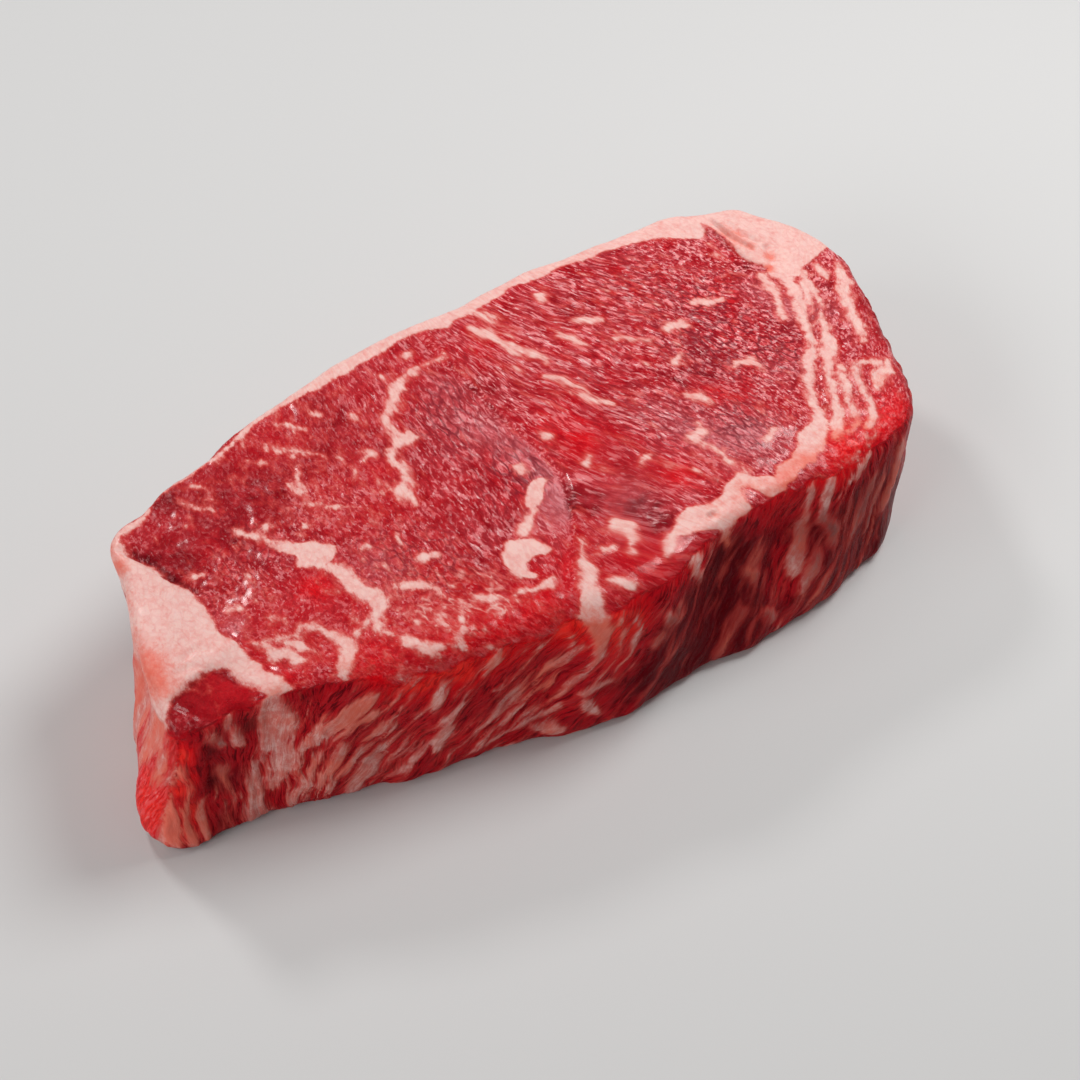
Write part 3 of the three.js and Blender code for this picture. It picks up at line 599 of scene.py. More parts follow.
@dataclass
class FrontWall:
    """The long wall at the front, cut along the grain. Places are [x, z]."""

    streak_height: float = 0.55
    fray: float = 0.8
    slopes: Curve = (
        (-104, -92, -82, -70, -50, -20, 0, 30, 60, 76, 92),
        (0.0, 0.05, 0.25, 0.85, 1.0, 1.15, 0.8, 0.6, 0.7, 0.2, -0.5),
    )
    # How much painted light brightens the lean under the upper edge, along x.
    top_glow: Curve = ((-64, -54, -4, 6, 110), (0, 0.9, 0.9, 0.3, 0.2))
    top_glow_rise: tuple[float, float] = (22, 36)
    strips: dict[str, Trace] = field(default_factory=lambda: {
        "column": ((-103.4, 36, 1.8), (-104.2, 24, 1.6), (-105.6, 4, 1.8)),
        "column_b": ((-99.6, 27, 0.3), (-100, 18, 0.5), (-101.6, 8, 0.8), (-102, 2, 1.4)),
        "column_c": ((-101.8, 31, 0.5), (-102, 24, 0.2)),
        "column_d": ((-97.4, 14, 0.3), (-98.6, 6, 0.7), (-98.8, 1, 1.0)),
        "strip_a": ((-93, 36, 0.8), (-92.6, 32, 1.5), (-91, 27, 0.8)),
        "strip_b": ((-88.4, 36, 0.5), (-88.4, 31, 0.8), (-87.4, 26, 0.6)),
        "strip_c": ((-92, 20, 0.4), (-91.2, 14, 0.5), (-90, 9, 0.4)),
        "slab": ((-80, 39, 2.3), (-79.4, 34, 3.2), (-79, 28, 3.5), (-80, 23, 2.9), (-78, 20, 2.8),
                 (-80.4, 15, 2.3), (-82.4, 10, 1.4)),
        "slab_foot": ((-84.6, 18, 1.0), (-86, 13, 1.6), (-86.6, 8, 2.2), (-87, 3, 2.6), (-87, -2, 2.4)),
        "wedge": ((-60.4, 33.4, 1.0), (-63, 31, 2.6), (-66.4, 29, 3.4), (-69.6, 27, 3.2), (-72.6, 24, 1.8),
                  (-75.4, 20.6, 0.9)),
        "wedge_b": ((-60.6, 27.6, 1.6), (-64.6, 26.4, 1.6), (-69, 22.6, 0.9)),
        "leaf_a": ((-56.8, 25, 0.8), (-59.4, 22.4, 1.6), (-62.4, 20.4, 0.8)),
        "leaf_b": ((-67, 21, 0.8), (-69, 16, 1.7), (-72, 11.6, 1.8), (-74.4, 8, 1.0)),
        "leaf_c": ((-72, 18.6, 0.7), (-75, 13, 1.2), (-77.6, 7.4, 1.5), (-79, 3, 1.2)),
        "leaf_d": ((-59.6, 12.4, 1.2), (-62, 9.6, 2.8), (-65, 6.4, 2.4), (-66, 2.6, 1.6)),
        "leaf_e": ((-44.6, 32, 0.9), (-46.4, 28, 1.3), (-48.6, 24.4, 0.7)),
        "leaf_f": ((-31.6, 37, 0.8), (-33.4, 33.6, 1.4), (-36, 30, 0.6)),
        "leaf_g": ((-42, 23.4, 0.8), (-45, 19, 1.8), (-46.8, 14.6, 2.6), (-47.4, 11, 1.6)),
        "ray_a": ((-13, 29.6, 0.8), (-17, 27, 0.9), (-22, 24.6, 1.1), (-27, 21.8, 0.8), (-31, 20, 0.5)),
        "ray_b": ((-21.6, 20.2, 0.6), (-26, 18, 0.8), (-30, 16, 0.9), (-35, 14.6, 0.5)),
        "ray_c": ((-20, 12, 0.5), (-26, 9.6, 0.7), (-32, 8, 0.6)),
        "curl_a": ((-5.6, 36, 0.4), (-4, 30, 0.7), (-5, 24, 0.6), (-9, 19, 0.5), (-13, 15.6, 0.3)),
        "curl_b": ((-1.6, 34, 0.3), (-0.4, 28, 0.7), (-2, 22, 0.8), (-6, 17.6, 0.5)),
        "curl_c": ((-16, 34, 0.3), (-15, 30, 0.5), (-17, 25, 0.5), (-22, 20.4, 0.4)),
        "curl_d": ((-22, 36, 0.4), (-23, 31, 0.6), (-27, 27, 0.5), (-33, 23.4, 0.3)),
        "fold": ((-9.6, 40, 3.3), (-10, 36, 3.0), (-9.4, 30, 2.4), (-10, 25.6, 1.9), (-12.8, 22, 1.1),
                 (-16, 19, 0.9), (-19.6, 15.6, 0.6)),
        "hook": ((-14.4, 14.6, 1.2), (-11, 15.8, 1.4), (-6.6, 15.2, 0.9), (-2.4, 17.6, 0.6)),
        "hook_b": ((-14, 11.6, 1.4), (-12, 8, 1.5), (-10.6, 6, 0.8)),
        "bud": ((-24.6, 6.8, 1.2), (-22, 5.4, 2.3), (-20.8, 4.4, 1.8)),
        "patch": ((7.4, 29.6, 0.8), (8.6, 26.6, 1.5), (11, 25, 0.9), (11.6, 28.6, 0.5)),
        "patch_b": ((3.6, 22, 0.9), (5.6, 24, 0.7)),
        "drip_a": ((17, 39.6, 1.7), (17, 36, 1.7), (18.4, 32, 1.8), (19.8, 28.4, 0.7)),
        "drip_b": ((27, 40, 2.0), (28, 36, 2.0), (29, 33, 1.0)),
        "drip_c": ((34.2, 23.4, 1.2), (35, 21.8, 0.9)),
        "thread": ((30.4, 13.4, 0.5), (27.4, 9.6, 0.7), (25, 6, 0.8), (23, 2, 0.7)),
        "band_a": ((52.6, 36, 1.1), (51.6, 31, 1.2), (50, 26, 1.8), (48, 21, 2.6), (46.4, 17, 2.4)),
        "band_b": ((58, 38, 1.2), (56.4, 33, 1.6), (54.6, 28, 1.3), (58.4, 24, 2.0), (58, 20.6, 1.4)),
        "band_c": ((53, 19, 1.6), (50.4, 15, 2.2), (47.6, 11, 1.2)),
        "band_d": ((70, 38, 1.2), (66, 36, 1.6), (62.6, 34.4, 0.9)),
        "band_e": ((72, 30, 1.6), (69, 24, 2.2), (66.4, 19, 2.0), (63, 15, 1.4)),
        "band_f": ((82, 33, 1.4), (83, 28, 2.0), (81, 21, 2.0), (78, 16, 1.4)),
        "band_g": ((76, 26, 1.3), (74, 20, 1.4), (71, 14, 1.0)),
        "band_h": ((36, 10, 1.2), (38, 8, 1.0), (40, 6.4, 0.6)),
    })
    crowds: tuple[Spot, ...] = (
        (-103, 20, 8, 0.4), (-78, 12, 14, 0.5), (-66, 12, 14, 0.7), (-52, 12, 12, 0.7), (-38, 10, 12, 0.65),
        (-26, 14, 12, 0.7), (-44, 34, 10, 0.35), (-30, 4, 10, 0.6), (56, 24, 14, 0.45), (72, 22, 14, 0.35),
        (88, 20, 12, 0.4), (-34, 34, 14, 0.45), (-52, 33, 9, 0.3), (-60, 30, 8, 0.3), (40, 8, 10, 0.3),
        (-90, 14, 8, 0.35),
    )
    # Most dark spots, by the recess under the flap near x = -93 and across x = 0 to 90, darken the lean
    # past its own dark red: painted shade. The spots of 1.3 brighten the corner column: painted light.
    tone_and_shading_spots: tuple[Spot, ...] = (
        (-100, 30, 4, 1.3), (-101, 20, 4, 1.3), (-101, 10, 5, 1.3), (-93.5, 27, 4, -0.7),
        (-93, 16, 5, -0.75), (-94.5, 6, 4, -0.55), (-84.5, 30, 3, -0.9), (-60, 38, 8, 0.4),
        (-40, 36, 12, 0.5),
        (-32, 27, 8, -0.3), (-2, 30, 6, 1.0), (-6, 22, 6, 0.9), (14, 20, 16, -0.7), (34, 32, 12, -0.5),
        (24, 12, 14, -0.8), (40, 22, 6, 0.2), (43, 14, 5, 0.3), (62, 6, 14, -0.7), (20, 36, 8, 0.6),
        (20, 24, 11, -0.8), (72, 22, 13, -0.9), (54, 24, 11, -0.6),
        (60, 39, 12, 0.5), (86, 14, 14, -0.6), (-16, 36, 6, 0.5), (40, 38, 7, 0.4), (92, 30, 6, 0.3),
        (2, 12, 9, -0.4),
    )
    salmons: tuple[Spot, ...] = (
        (-103, 20, 9, 0.9), (-66, 29, 7, 0.5), (-10, 35, 6, 0.8), (30, 33, 6, 0.6),
        (84, 24, 9, 0.5), (-34, 34, 4, 0.5), (-70, 14, 5, 0.3), (-22, 25, 5, 0.4), (-24, 18, 6, 0.3),
        (-22, 5, 3, 0.3), (-104, 6, 6, 0.6), (-103, 32, 5, 0.5),
    )

    def top_light(self, places: np.ndarray) -> np.ndarray:
        """How much brighter the lean is just under the upper edge."""
        # The lean under the upper edge is brightened: painted light.
        return ease(places[:, 1], *self.top_glow_rise) * np.interp(places[:, 0], *self.top_glow)

    def slope(self, x: np.ndarray) -> np.ndarray:
        """How far a streak runs along x for each millimetre that it rises."""
        return np.interp(x, *self.slopes)

    def grain(self, places: np.ndarray, points: np.ndarray) -> np.ndarray:
        """The points in the streaks' own directions.

        Args:
            places: Where each point reads the drawing.
            points: The points themselves.

        Returns:
            Three columns: across the streaks, along them, and into the meat.
        """
        lean = self.slope(places[:, 0])
        wavy = 0.9 * lumps(points, (8, 8, 7), 57)
        across = (places[:, 0] - lean * (places[:, 1] - 22)) / np.hypot(1, lean) + wavy
        along = places[:, 1] * np.hypot(1, lean) * 0.2
        return np.stack([across, along, points[:, 1] * DEPTH_SLOWNESS], 1)

    def read(self, points: np.ndarray) -> Surface:
        """What the wall says about points.

        Args:
            points: Places on the steak.

        Returns:
            The wall's surface.
        """
        places = points[:, [0, 2]]
        wander = np.stack([lumps(points, (5, 9, 5), 41, 2), lumps(points, (5, 9, 5), 42, 2)], 1)
        frayed = places + self.fray * wander
        edge = np.full(len(points), FAR_OFF)
        for trace in self.strips.values():
            edge = np.minimum(edge, trace_edge(frayed, trace))
        grain = self.grain(frayed, points)
        chance = lumps(grain, (1.4, 2.0, 2.6), 51, 2) + 0.5 * lumps(grain, (4.6, 4.6, 6), 52)
        crowd = np.clip(spot_sum(places, self.crowds), 0, 1.2)
        streaks = np.clip((1.1 - 0.85 * crowd - chance) * 1.6, -1.4, 3)
        edge = np.minimum(edge + 0.9 * lumps(grain, (1.2, 1.6, 2), 58, 2), streaks)
        fat = ease(edge, 0.6, -0.8)
        ridge = lumps(grain, (1.4, 1.6, 2), 53, 2) + 0.8 * lumps(grain, (3.4, 3.4, 3), 54)
        relief = self.streak_height * (0.45 * ridge + 0.7 * (fat - 0.4))
        tone = spot_sum(places, self.tone_and_shading_spots) + self.top_light(places)
        salmon = 0.3 + spot_sum(places, self.salmons) + 0.25 * lumps(points, (7, 9, 7), 56, 2)
        return Surface(
            grain=grain,
            fat_edge=edge,
            relief=relief,
            tone=tone + 0.3 * lumps(points, (12, 12, 9), 55, 2),
            salmon=np.clip(salmon, 0, 1),
            haze=0.02,
            marbling=0.6 * crowd,
            wrinkles=0.25,
        )


@dataclass
class NarrowEnd:
    """The narrow end's wall, which is mostly upright layers of fat. Places are [y, z]."""

    slope: float = -0.3
    layer: float = 2.6
    reds: tuple[Spot, ...] = ((-19, 11, 7, 1.4), (-25, 32, 4, 0.6), (-12, 4, 7, 0.6), (-23, 3, 4, 0.6))

    def read(self, points: np.ndarray) -> Surface:
        """What the wall says about points.

        Args:
            points: Places on the steak.

        Returns:
            The wall's surface.
        """
        places = points[:, [1, 2]]
        across = places[:, 0] - self.slope * (places[:, 1] - 20) + 0.8 * lumps(points, (8, 8, 8), 65)
        grain = np.stack([across, places[:, 1] * 0.2, points[:, 0] * DEPTH_SLOWNESS], 1)
        layers = lumps(grain, (self.layer, 3.4, 4), 61, 2)
        red = spot_sum(places, self.reds)
        edge = np.clip((layers - 0.55 + 1.1 * red) * 1.6, -2.2, 2)
        salmon = np.clip(0.6 + 0.6 * lumps(grain, (3.4, 4, 4), 64, 2), 0, 1)
        return Surface(
            grain=grain,
            fat_edge=edge,
            relief=0.32 * layers + 0.16 * lumps(grain, (1.2, 1.6, 2), 62, 2),
            tone=0.8 + 0.3 * lumps(points, (9, 9, 9), 63),
            salmon=salmon * ease(places[:, 0], 24, 4),
            haze=0.2,
            marbling=0.5,
        )


@dataclass
class RindWall:
    """The back wall, where the rind of fat wraps the lean. Places are [x, z]."""

    bare_until: float = -62.0
    covered_from: float = -46.0

    def read(self, points: np.ndarray) -> Surface:
        """What the wall says about points.

        Args:
            points: Places on the steak.

        Returns:
            The wall's surface.
        """
        x = points[:, 0] + 8 * lumps(points, (11, 11, 8), 71, 2)
        covered = ease(x, self.bare_until, self.covered_from)
        place = points[:, [0, 2, 1]]
        torn = lumps(place, (17, 10, 12), 72, 3)
        edge = 1.6 - 4.4 * covered + np.clip((torn - 0.95) * 5, 0, 4)
        streaks = np.clip((0.55 - lumps(place, (3, 12, 9), 73, 2)) * 2, -1.5, 2)
        edge = np.minimum(edge, streaks + 1.2 * covered)
        return Surface(
            grain=place * (1, 0.5, 0.5),
            fat_edge=edge,
            relief=0.4 * lumps(place, (11, 7, 9), 74, 3) + 0.12 * lumps(place, (2.4, 3.4, 3), 75, 2),
            tone=-0.2 + 0.4 * lumps(points, (15, 15, 12), 76),
            salmon=np.clip(0.1 + 0.5 * lumps(place, (13, 9, 9), 77, 2), 0, 1),
            haze=0.3,
            marbling=0.9,
            # A little painted sheen.
            sheen=0.2,
            wrinkles=0.2,
        )


@dataclass
class RoundEnd:
    """The round end's wall, where the stripes of the upper face run down. Places are [y, z]."""

    slope: float = 0.35

    def read(self, points: np.ndarray) -> Surface:
        """What the wall says about points.

        Args:
            points: Places on the steak.

        Returns:
            The wall's surface.
        """
        across = points[:, 1] - self.slope * (points[:, 2] - 20) + 0.8 * lumps(points, (8, 8, 8), 85)
        grain = np.stack([across, points[:, 2] * 0.22, points[:, 0] * DEPTH_SLOWNESS], 1)
        stripes = lumps(grain, (2.6, 3.2, 4), 81, 2)
        fat_above = ease(points[:, 1], 12, 20)
        edge = np.clip((0.5 - stripes) * 2.2, -2, 2.4) - 3.2 * fat_above
        return Surface(
            grain=grain,
            fat_edge=edge,
            relief=0.42 * stripes + 0.2 * lumps(grain, (1.4, 2, 2), 82, 2),
            tone=-0.1 + 0.4 * lumps(points, (12, 12, 9), 83),
            salmon=np.clip(0.45 + 0.4 * lumps(grain, (4, 4, 4), 84, 2), 0, 1),
            haze=0.15,
            marbling=0.6,
            wrinkles=0.2,
        )


class Part(Enum):
    """The mesh attributes that the finish reads."""

    FAT_EDGE = "fat_edge"
    TONE = "tone"
    SALMON = "salmon"
    SHEEN = "sheen"
    HAZE = "haze"
    MARBLING = "marbling"
    WRINKLES = "wrinkles"
    CALM = "calm"
    WALL = "wall"
    GRAIN = "grain"


def deselect_all() -> None:
    """Deselects every object."""
    bpy.ops.object.select_all(action="DESELECT")


def pick(thing: bpy.types.Object) -> None:
    """Makes one object the only selected and the active one."""
    deselect_all()
    thing.select_set(True)
    bpy.context.view_layer.objects.active = thing


@dataclass
class Steak:
    """The steak's fine mesh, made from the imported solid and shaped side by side."""

    merge_gap: float = 0.01
    voxel: float = 0.66
    hidden_share: float = 0.2
    rind_rim: float = 6.0
    foot: float = 2.0
    lower_shift: tuple[float, float] = (2.0, -3.0)
    edge_limit: float = 6.0
    top_reach: Curve = ((-110, -84, -80, -62, -54, -15, 5, 110), (6, 6, 1.5, 1.5, 6, 6, 3, 3))
    upper: CutFace = field(default_factory=CutFace)
    front: FrontWall = field(default_factory=FrontWall)
    end: NarrowEnd = field(default_factory=NarrowEnd)
    back: RindWall = field(default_factory=RindWall)
    round_end: RoundEnd = field(default_factory=RoundEnd)

    def build(self) -> bpy.types.Object:
        """Makes the piece.

        Returns:
            The finished mesh object, with its attributes and with no material.
        """
        piece = self.copy_solid()
        self.remesh(piece)
        self.coarsen_hidden(piece)
        self.dress(piece)
        pick(piece)
        bpy.ops.object.shade_smooth()
        deselect_all()
        return piece

    def copy_solid(self) -> bpy.types.Object:
        """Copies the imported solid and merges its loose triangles.

        Returns:
            The copy.
        """
        pick(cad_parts[NODE])
        bpy.ops.object.duplicate()
        piece = bpy.context.view_layer.objects.active
        piece.name = piece.data.name = "steak_meat"
        for key in list(piece.keys()):
            del piece[key]
        piece.parent = None
        piece.data.materials.clear()
        bpy.ops.object.mode_set(mode="EDIT")
        bpy.ops.mesh.select_all(action="SELECT")
        bpy.ops.mesh.remove_doubles(threshold=self.merge_gap * MM)
        bpy.ops.mesh.tris_convert_to_quads()
        bpy.ops.object.mode_set(mode="OBJECT")
        return piece

    def remesh(self, piece: bpy.types.Object) -> None:
        """Rounds the solid's facets and gives it an even fine mesh.

        Args:
            piece: The merged copy of the solid.
        """
        rounding = piece.modifiers.new("rounding", "SUBSURF")
        rounding.levels = rounding.render_levels = 2
        bpy.ops.object.modifier_apply(modifier=rounding.name)
        even = piece.modifiers.new("even", "REMESH")
        even.mode = "VOXEL"
        even.voxel_size = self.voxel * MM
        bpy.ops.object.modifier_apply(modifier=even.name)
        soft = piece.modifiers.new("soft", "SMOOTH")
        soft.factor = 0.5
        soft.iterations = 3
        bpy.ops.object.modifier_apply(modifier=soft.name)

    def coarsen_hidden(self, piece: bpy.types.Object) -> None:
        """Thins the mesh under the steak and on its back wall, where the surface is plainer.

        Args:
            piece: The fine mesh.
        """
        mesh = piece.data
        points, normals = self.measure(mesh)
        rind = (normals[:, 1] > 0.5) & (points[:, 2] < THICKNESS - self.rind_rim)
        hidden = (normals[:, 2] < -0.6) | rind
        pick(piece)
        bpy.ops.object.mode_set(mode="EDIT")
        bpy.ops.mesh.select_all(action="DESELECT")
        bpy.ops.object.mode_set(mode="OBJECT")
        mesh.vertices.foreach_set("select", hidden)
        bpy.ops.object.mode_set(mode="EDIT")
        bpy.ops.mesh.select_mode(type="VERT")
        bpy.ops.mesh.decimate(ratio=self.hidden_share)
        bpy.ops.object.mode_set(mode="OBJECT")

    @staticmethod
    def measure(mesh: bpy.types.Mesh) -> tuple[np.ndarray, np.ndarray]:
        """Reads a mesh.

        Args:
            mesh: The mesh to read.

        Returns:
            Its points in millimetres, and its normals.
        """
        points = np.zeros(len(mesh.vertices) * 3)
        mesh.vertices.foreach_get("co", points)
        normals = np.zeros(len(mesh.vertices) * 3)
        mesh.vertex_normals.foreach_get("vector", normals)
        return points.reshape(-1, 3) / MM, normals.reshape(-1, 3)

    def shares(self, points: np.ndarray, normals: np.ndarray) -> dict[str, np.ndarray]:
        """How much of each side every point belongs to.

        Args:
            points: Places on the steak.
            normals: The directions that the surface faces.

        Returns:
            The shares by side's name, which add up to 1.
        """
        depth = THICKNESS - points[:, 2] + 1.6 * lumps(points, (5, 5, 5), 91, 3)
        reach = np.interp(points[:, 0], *self.top_reach)
        below = ease(-normals[:, 2], 0.45, 0.8)
        up = np.maximum(ease(normals[:, 2], 0.55, 0.7), ease(depth, reach + 1.2, reach - 1.2)) * (1 - below)
        side = np.maximum(1 - up - below, 0)
        flat = np.hypot(normals[:, 0], normals[:, 1]) + 1e-6
        across, along = normals[:, 0] / flat, normals[:, 1] / flat
        end = ease(-across, 0.62, 0.85) * ease(points[:, 0], -80, -90)
        far = ease(across, 0.5, 0.85) * ease(points[:, 0], 84, 92)
        back = ease(along, -0.1, 0.25)
        rest = 1 - np.maximum(end, far)
        return {
            "upper": up,
            "lower": below,
            "end": side * end,
            "far": side * far,
            "back": side * rest * back,
            "front": side * rest * (1 - back),
        }

    def dress(self, piece: bpy.types.Object) -> None:
        """Shapes the surface and writes the attributes that the finish reads.

        Args:
            piece: The fine mesh.
        """
        mesh = piece.data
        points, normals = self.measure(mesh)
        share = self.shares(points, normals)
        lower_points = np.column_stack([points[:, :2] + self.lower_shift, np.full(len(points), THICKNESS)])
        surface = Surface.blend([
            (self.upper.read(points), share["upper"]),
            (self.upper.read(lower_points), share["lower"]),
            (self.end.read(points), share["end"]),
            (self.round_end.read(points), share["far"]),
            (self.back.read(points), share["back"]),
            (self.front.read(points), share["front"]),
        ])
        grounded = ease(points[:, 2], 0.0, self.foot)
        moved = points + normals * (surface.relief * grounded)[:, None]
        moved[:, 2] = np.maximum(moved[:, 2], 0)
        mesh.vertices.foreach_set("co", (moved * MM).ravel())
        mesh.update()

        surface.fat_edge = np.clip(surface.fat_edge, -self.edge_limit, self.edge_limit)
        surface.tone = np.clip(surface.tone, -1, 1)
        wall = share["front"] + share["end"] + share["far"] + share["back"]
        for part in Part:
            numbers = wall if part is Part.WALL else getattr(surface, part.value)
            kind, name = ("FLOAT_VECTOR", "vector") if part is Part.GRAIN else ("FLOAT", "value")
            layer = mesh.attributes.new(part.value, kind, "POINT")
            layer.data.foreach_set(name, numbers.astype(np.float32).ravel())


class Sock:
    """One output socket, with Python's operators for its sums."""

    def __init__(self, shade: "Shade", socket: bpy.types.NodeSocket) -> None:
        """Wraps a socket.

        Args:
            shade: The node tree that the socket is in.
            socket: The output socket.
        """
        self.shade = shade
        self.socket = socket

    def _math(self, operation: str, *values: "Sock | float") -> "Sock":
        """Adds a Math node."""
        return self.shade.node("ShaderNodeMath", {"operation": operation}, dict(enumerate(values)))

    def __add__(self, other: "Sock | float") -> "Sock":
        """self + other."""
        return self._math("ADD", self, other)

    def __radd__(self, other: float) -> "Sock":
        """other + self."""
        return self._math("ADD", other, self)

    def __sub__(self, other: "Sock | float") -> "Sock":
        """self - other."""
        return self._math("SUBTRACT", self, other)

    def __rsub__(self, other: float) -> "Sock":
        """other - self."""
        return self._math("SUBTRACT", other, self)

    def __mul__(self, other: "Sock | float") -> "Sock":
        """self * other."""
        return self._math("MULTIPLY", self, other)

    def __rmul__(self, other: float) -> "Sock":
        """other * self."""
        return self._math("MULTIPLY", other, self)

    def min(self, other: "Sock | float") -> "Sock":
        """The smaller of self and other."""
        return self._math("MINIMUM", self, other)

    def size(self) -> "Sock":
        """Self without its sign."""
        return self._math("ABSOLUTE", self)

    def ease(self, low: float, high: float, start: float = 0.0, end: float = 1.0) -> "Sock":
        """Eases self from start at low to end at high.

        Args:
            low: Where the result is start.
            high: Where the result is end.
            start: The first result.
            end: The last result.

        Returns:
            The eased value.
        """
        if low > high:
            low, high, start, end = high, low, end, start
        values = {"Value": self, "From Min": low, "From Max": high, "To Min": start, "To Max": end}
        return self.shade.node("ShaderNodeMapRange", {"interpolation_type": "SMOOTHSTEP"}, values)


class Shade:
    """A material's node tree, written as expressions."""

    def __init__(self, name: str) -> None:
        """Makes an empty material.

        Args:
            name: The material's name.
        """
        self.material = bpy.data.materials.new(name)
        self.material.use_nodes = True
        self.tree = self.material.node_tree
        self.tree.nodes.clear()

    def node(self, kind: str, settings: dict, values: dict, output: int | str = 0) -> Sock:
        """Adds a node.

        Args:
            kind: The node's type.
            settings: Its settings, which are set first.
            values: The values or links of its sockets, by name or number.
            output: Which output is returned.

        Returns:
            The output, wrapped.
        """
        made = self.tree.nodes.new(kind)
        for name, value in settings.items():
            setattr(made, name, value)
        for name, value in values.items():
            socket = made.inputs[name]
            if isinstance(value, Sock):
                self.tree.links.new(value.socket, socket)
            else:
                socket.default_value = value
        return Sock(self, made.outputs[output])

    def finish(self, surface: Sock) -> bpy.types.Material:
        """Gives the material its surface.

        Args:
            surface: The surface's shader.

        Returns:
            The material.
        """
        output = self.tree.nodes.new("ShaderNodeOutputMaterial")
        self.tree.links.new(surface.socket, output.inputs["Surface"])
        return self.material

    def attribute(self, part: Part) -> Sock:
        """A number that the mesh holds."""
        return self.node("ShaderNodeAttribute", {"attribute_name": part.value}, {}, "Fac")

    def attribute_vector(self, part: Part) -> Sock:
        """A place that the mesh holds."""
        return self.node("ShaderNodeAttribute", {"attribute_name": part.value}, {}, "Vector")

    def place(self) -> Sock:
        """The point on the object, in millimetres."""
        raw = self.node("ShaderNodeTexCoord", {}, {}, "Object")
        return self.stretch(raw, (1 / MM, 1 / MM, 1 / MM))

    def stretch(self, vector: Sock, shares: tuple[float, float, float]) -> Sock:
        """A vector times three numbers."""
        return self.node("ShaderNodeVectorMath", {"operation": "MULTIPLY"}, {0: vector, 1: shares})

    def noise(
        self, vector: Sock, size: float, detail: float = 2.0, rough: float = 0.5, bend: float = 0.0
    ) -> Sock:
        """Noise.

        Args:
            vector: Where it is read, in millimetres.
            size: How long one lump is.
            detail: How many finer copies are added.
            rough: How strong the finer copies are.
            bend: How much the noise bends itself.

        Returns:
            The noise, 0 to 1.
        """
        values = {"Vector": vector, "Scale": 1 / size, "Detail": detail}
        values |= {"Roughness": rough, "Distortion": bend}
        return self.node("ShaderNodeTexNoise", {}, values)

    def wobble(self, vector: Sock, size: float, reach: float) -> Sock:
        """Moves places about, so that a regular pattern read there looks grown.

        Args:
            vector: The places.
            size: How far apart the moves differ.
            reach: How far places move.

        Returns:
            The moved places.
        """
        values = {"Vector": vector, "Scale": 1 / size, "Detail": 1.0}
        moves = self.node("ShaderNodeTexNoise", {}, values, "Color")
        values = {0: moves, 1: (2 * reach,) * 3, 2: vector}
        return self.node("ShaderNodeVectorMath", {"operation": "MULTIPLY_ADD"}, values)

    def cell_borders(self, vector: Sock, size: float) -> Sock:
        """The distance to the borders in a pattern of cells.

        Args:
            vector: Where it is read, in millimetres.
            size: How wide one cell is.

        Returns:
            The distance, in cells.
        """
        values = {"Vector": vector, "Scale": 1 / size}
        return self.node("ShaderNodeTexVoronoi", {"feature": "DISTANCE_TO_EDGE"}, values, "Distance")

    def mix(self, share: "Sock | float", first: "Sock | Colour", second: "Sock | Colour") -> Sock:
        """Mixes two colours.

        Args:
            share: The second colour's share.
            first: The first colour.
            second: The second colour.

        Returns:
            The mixed colour.
        """
        colours = [c if isinstance(c, Sock) else (*c, 1.0) for c in (first, second)]
        values = {0: share, 6: colours[0], 7: colours[1]}
        return self.node("ShaderNodeMix", {"data_type": "RGBA"}, values, 2)


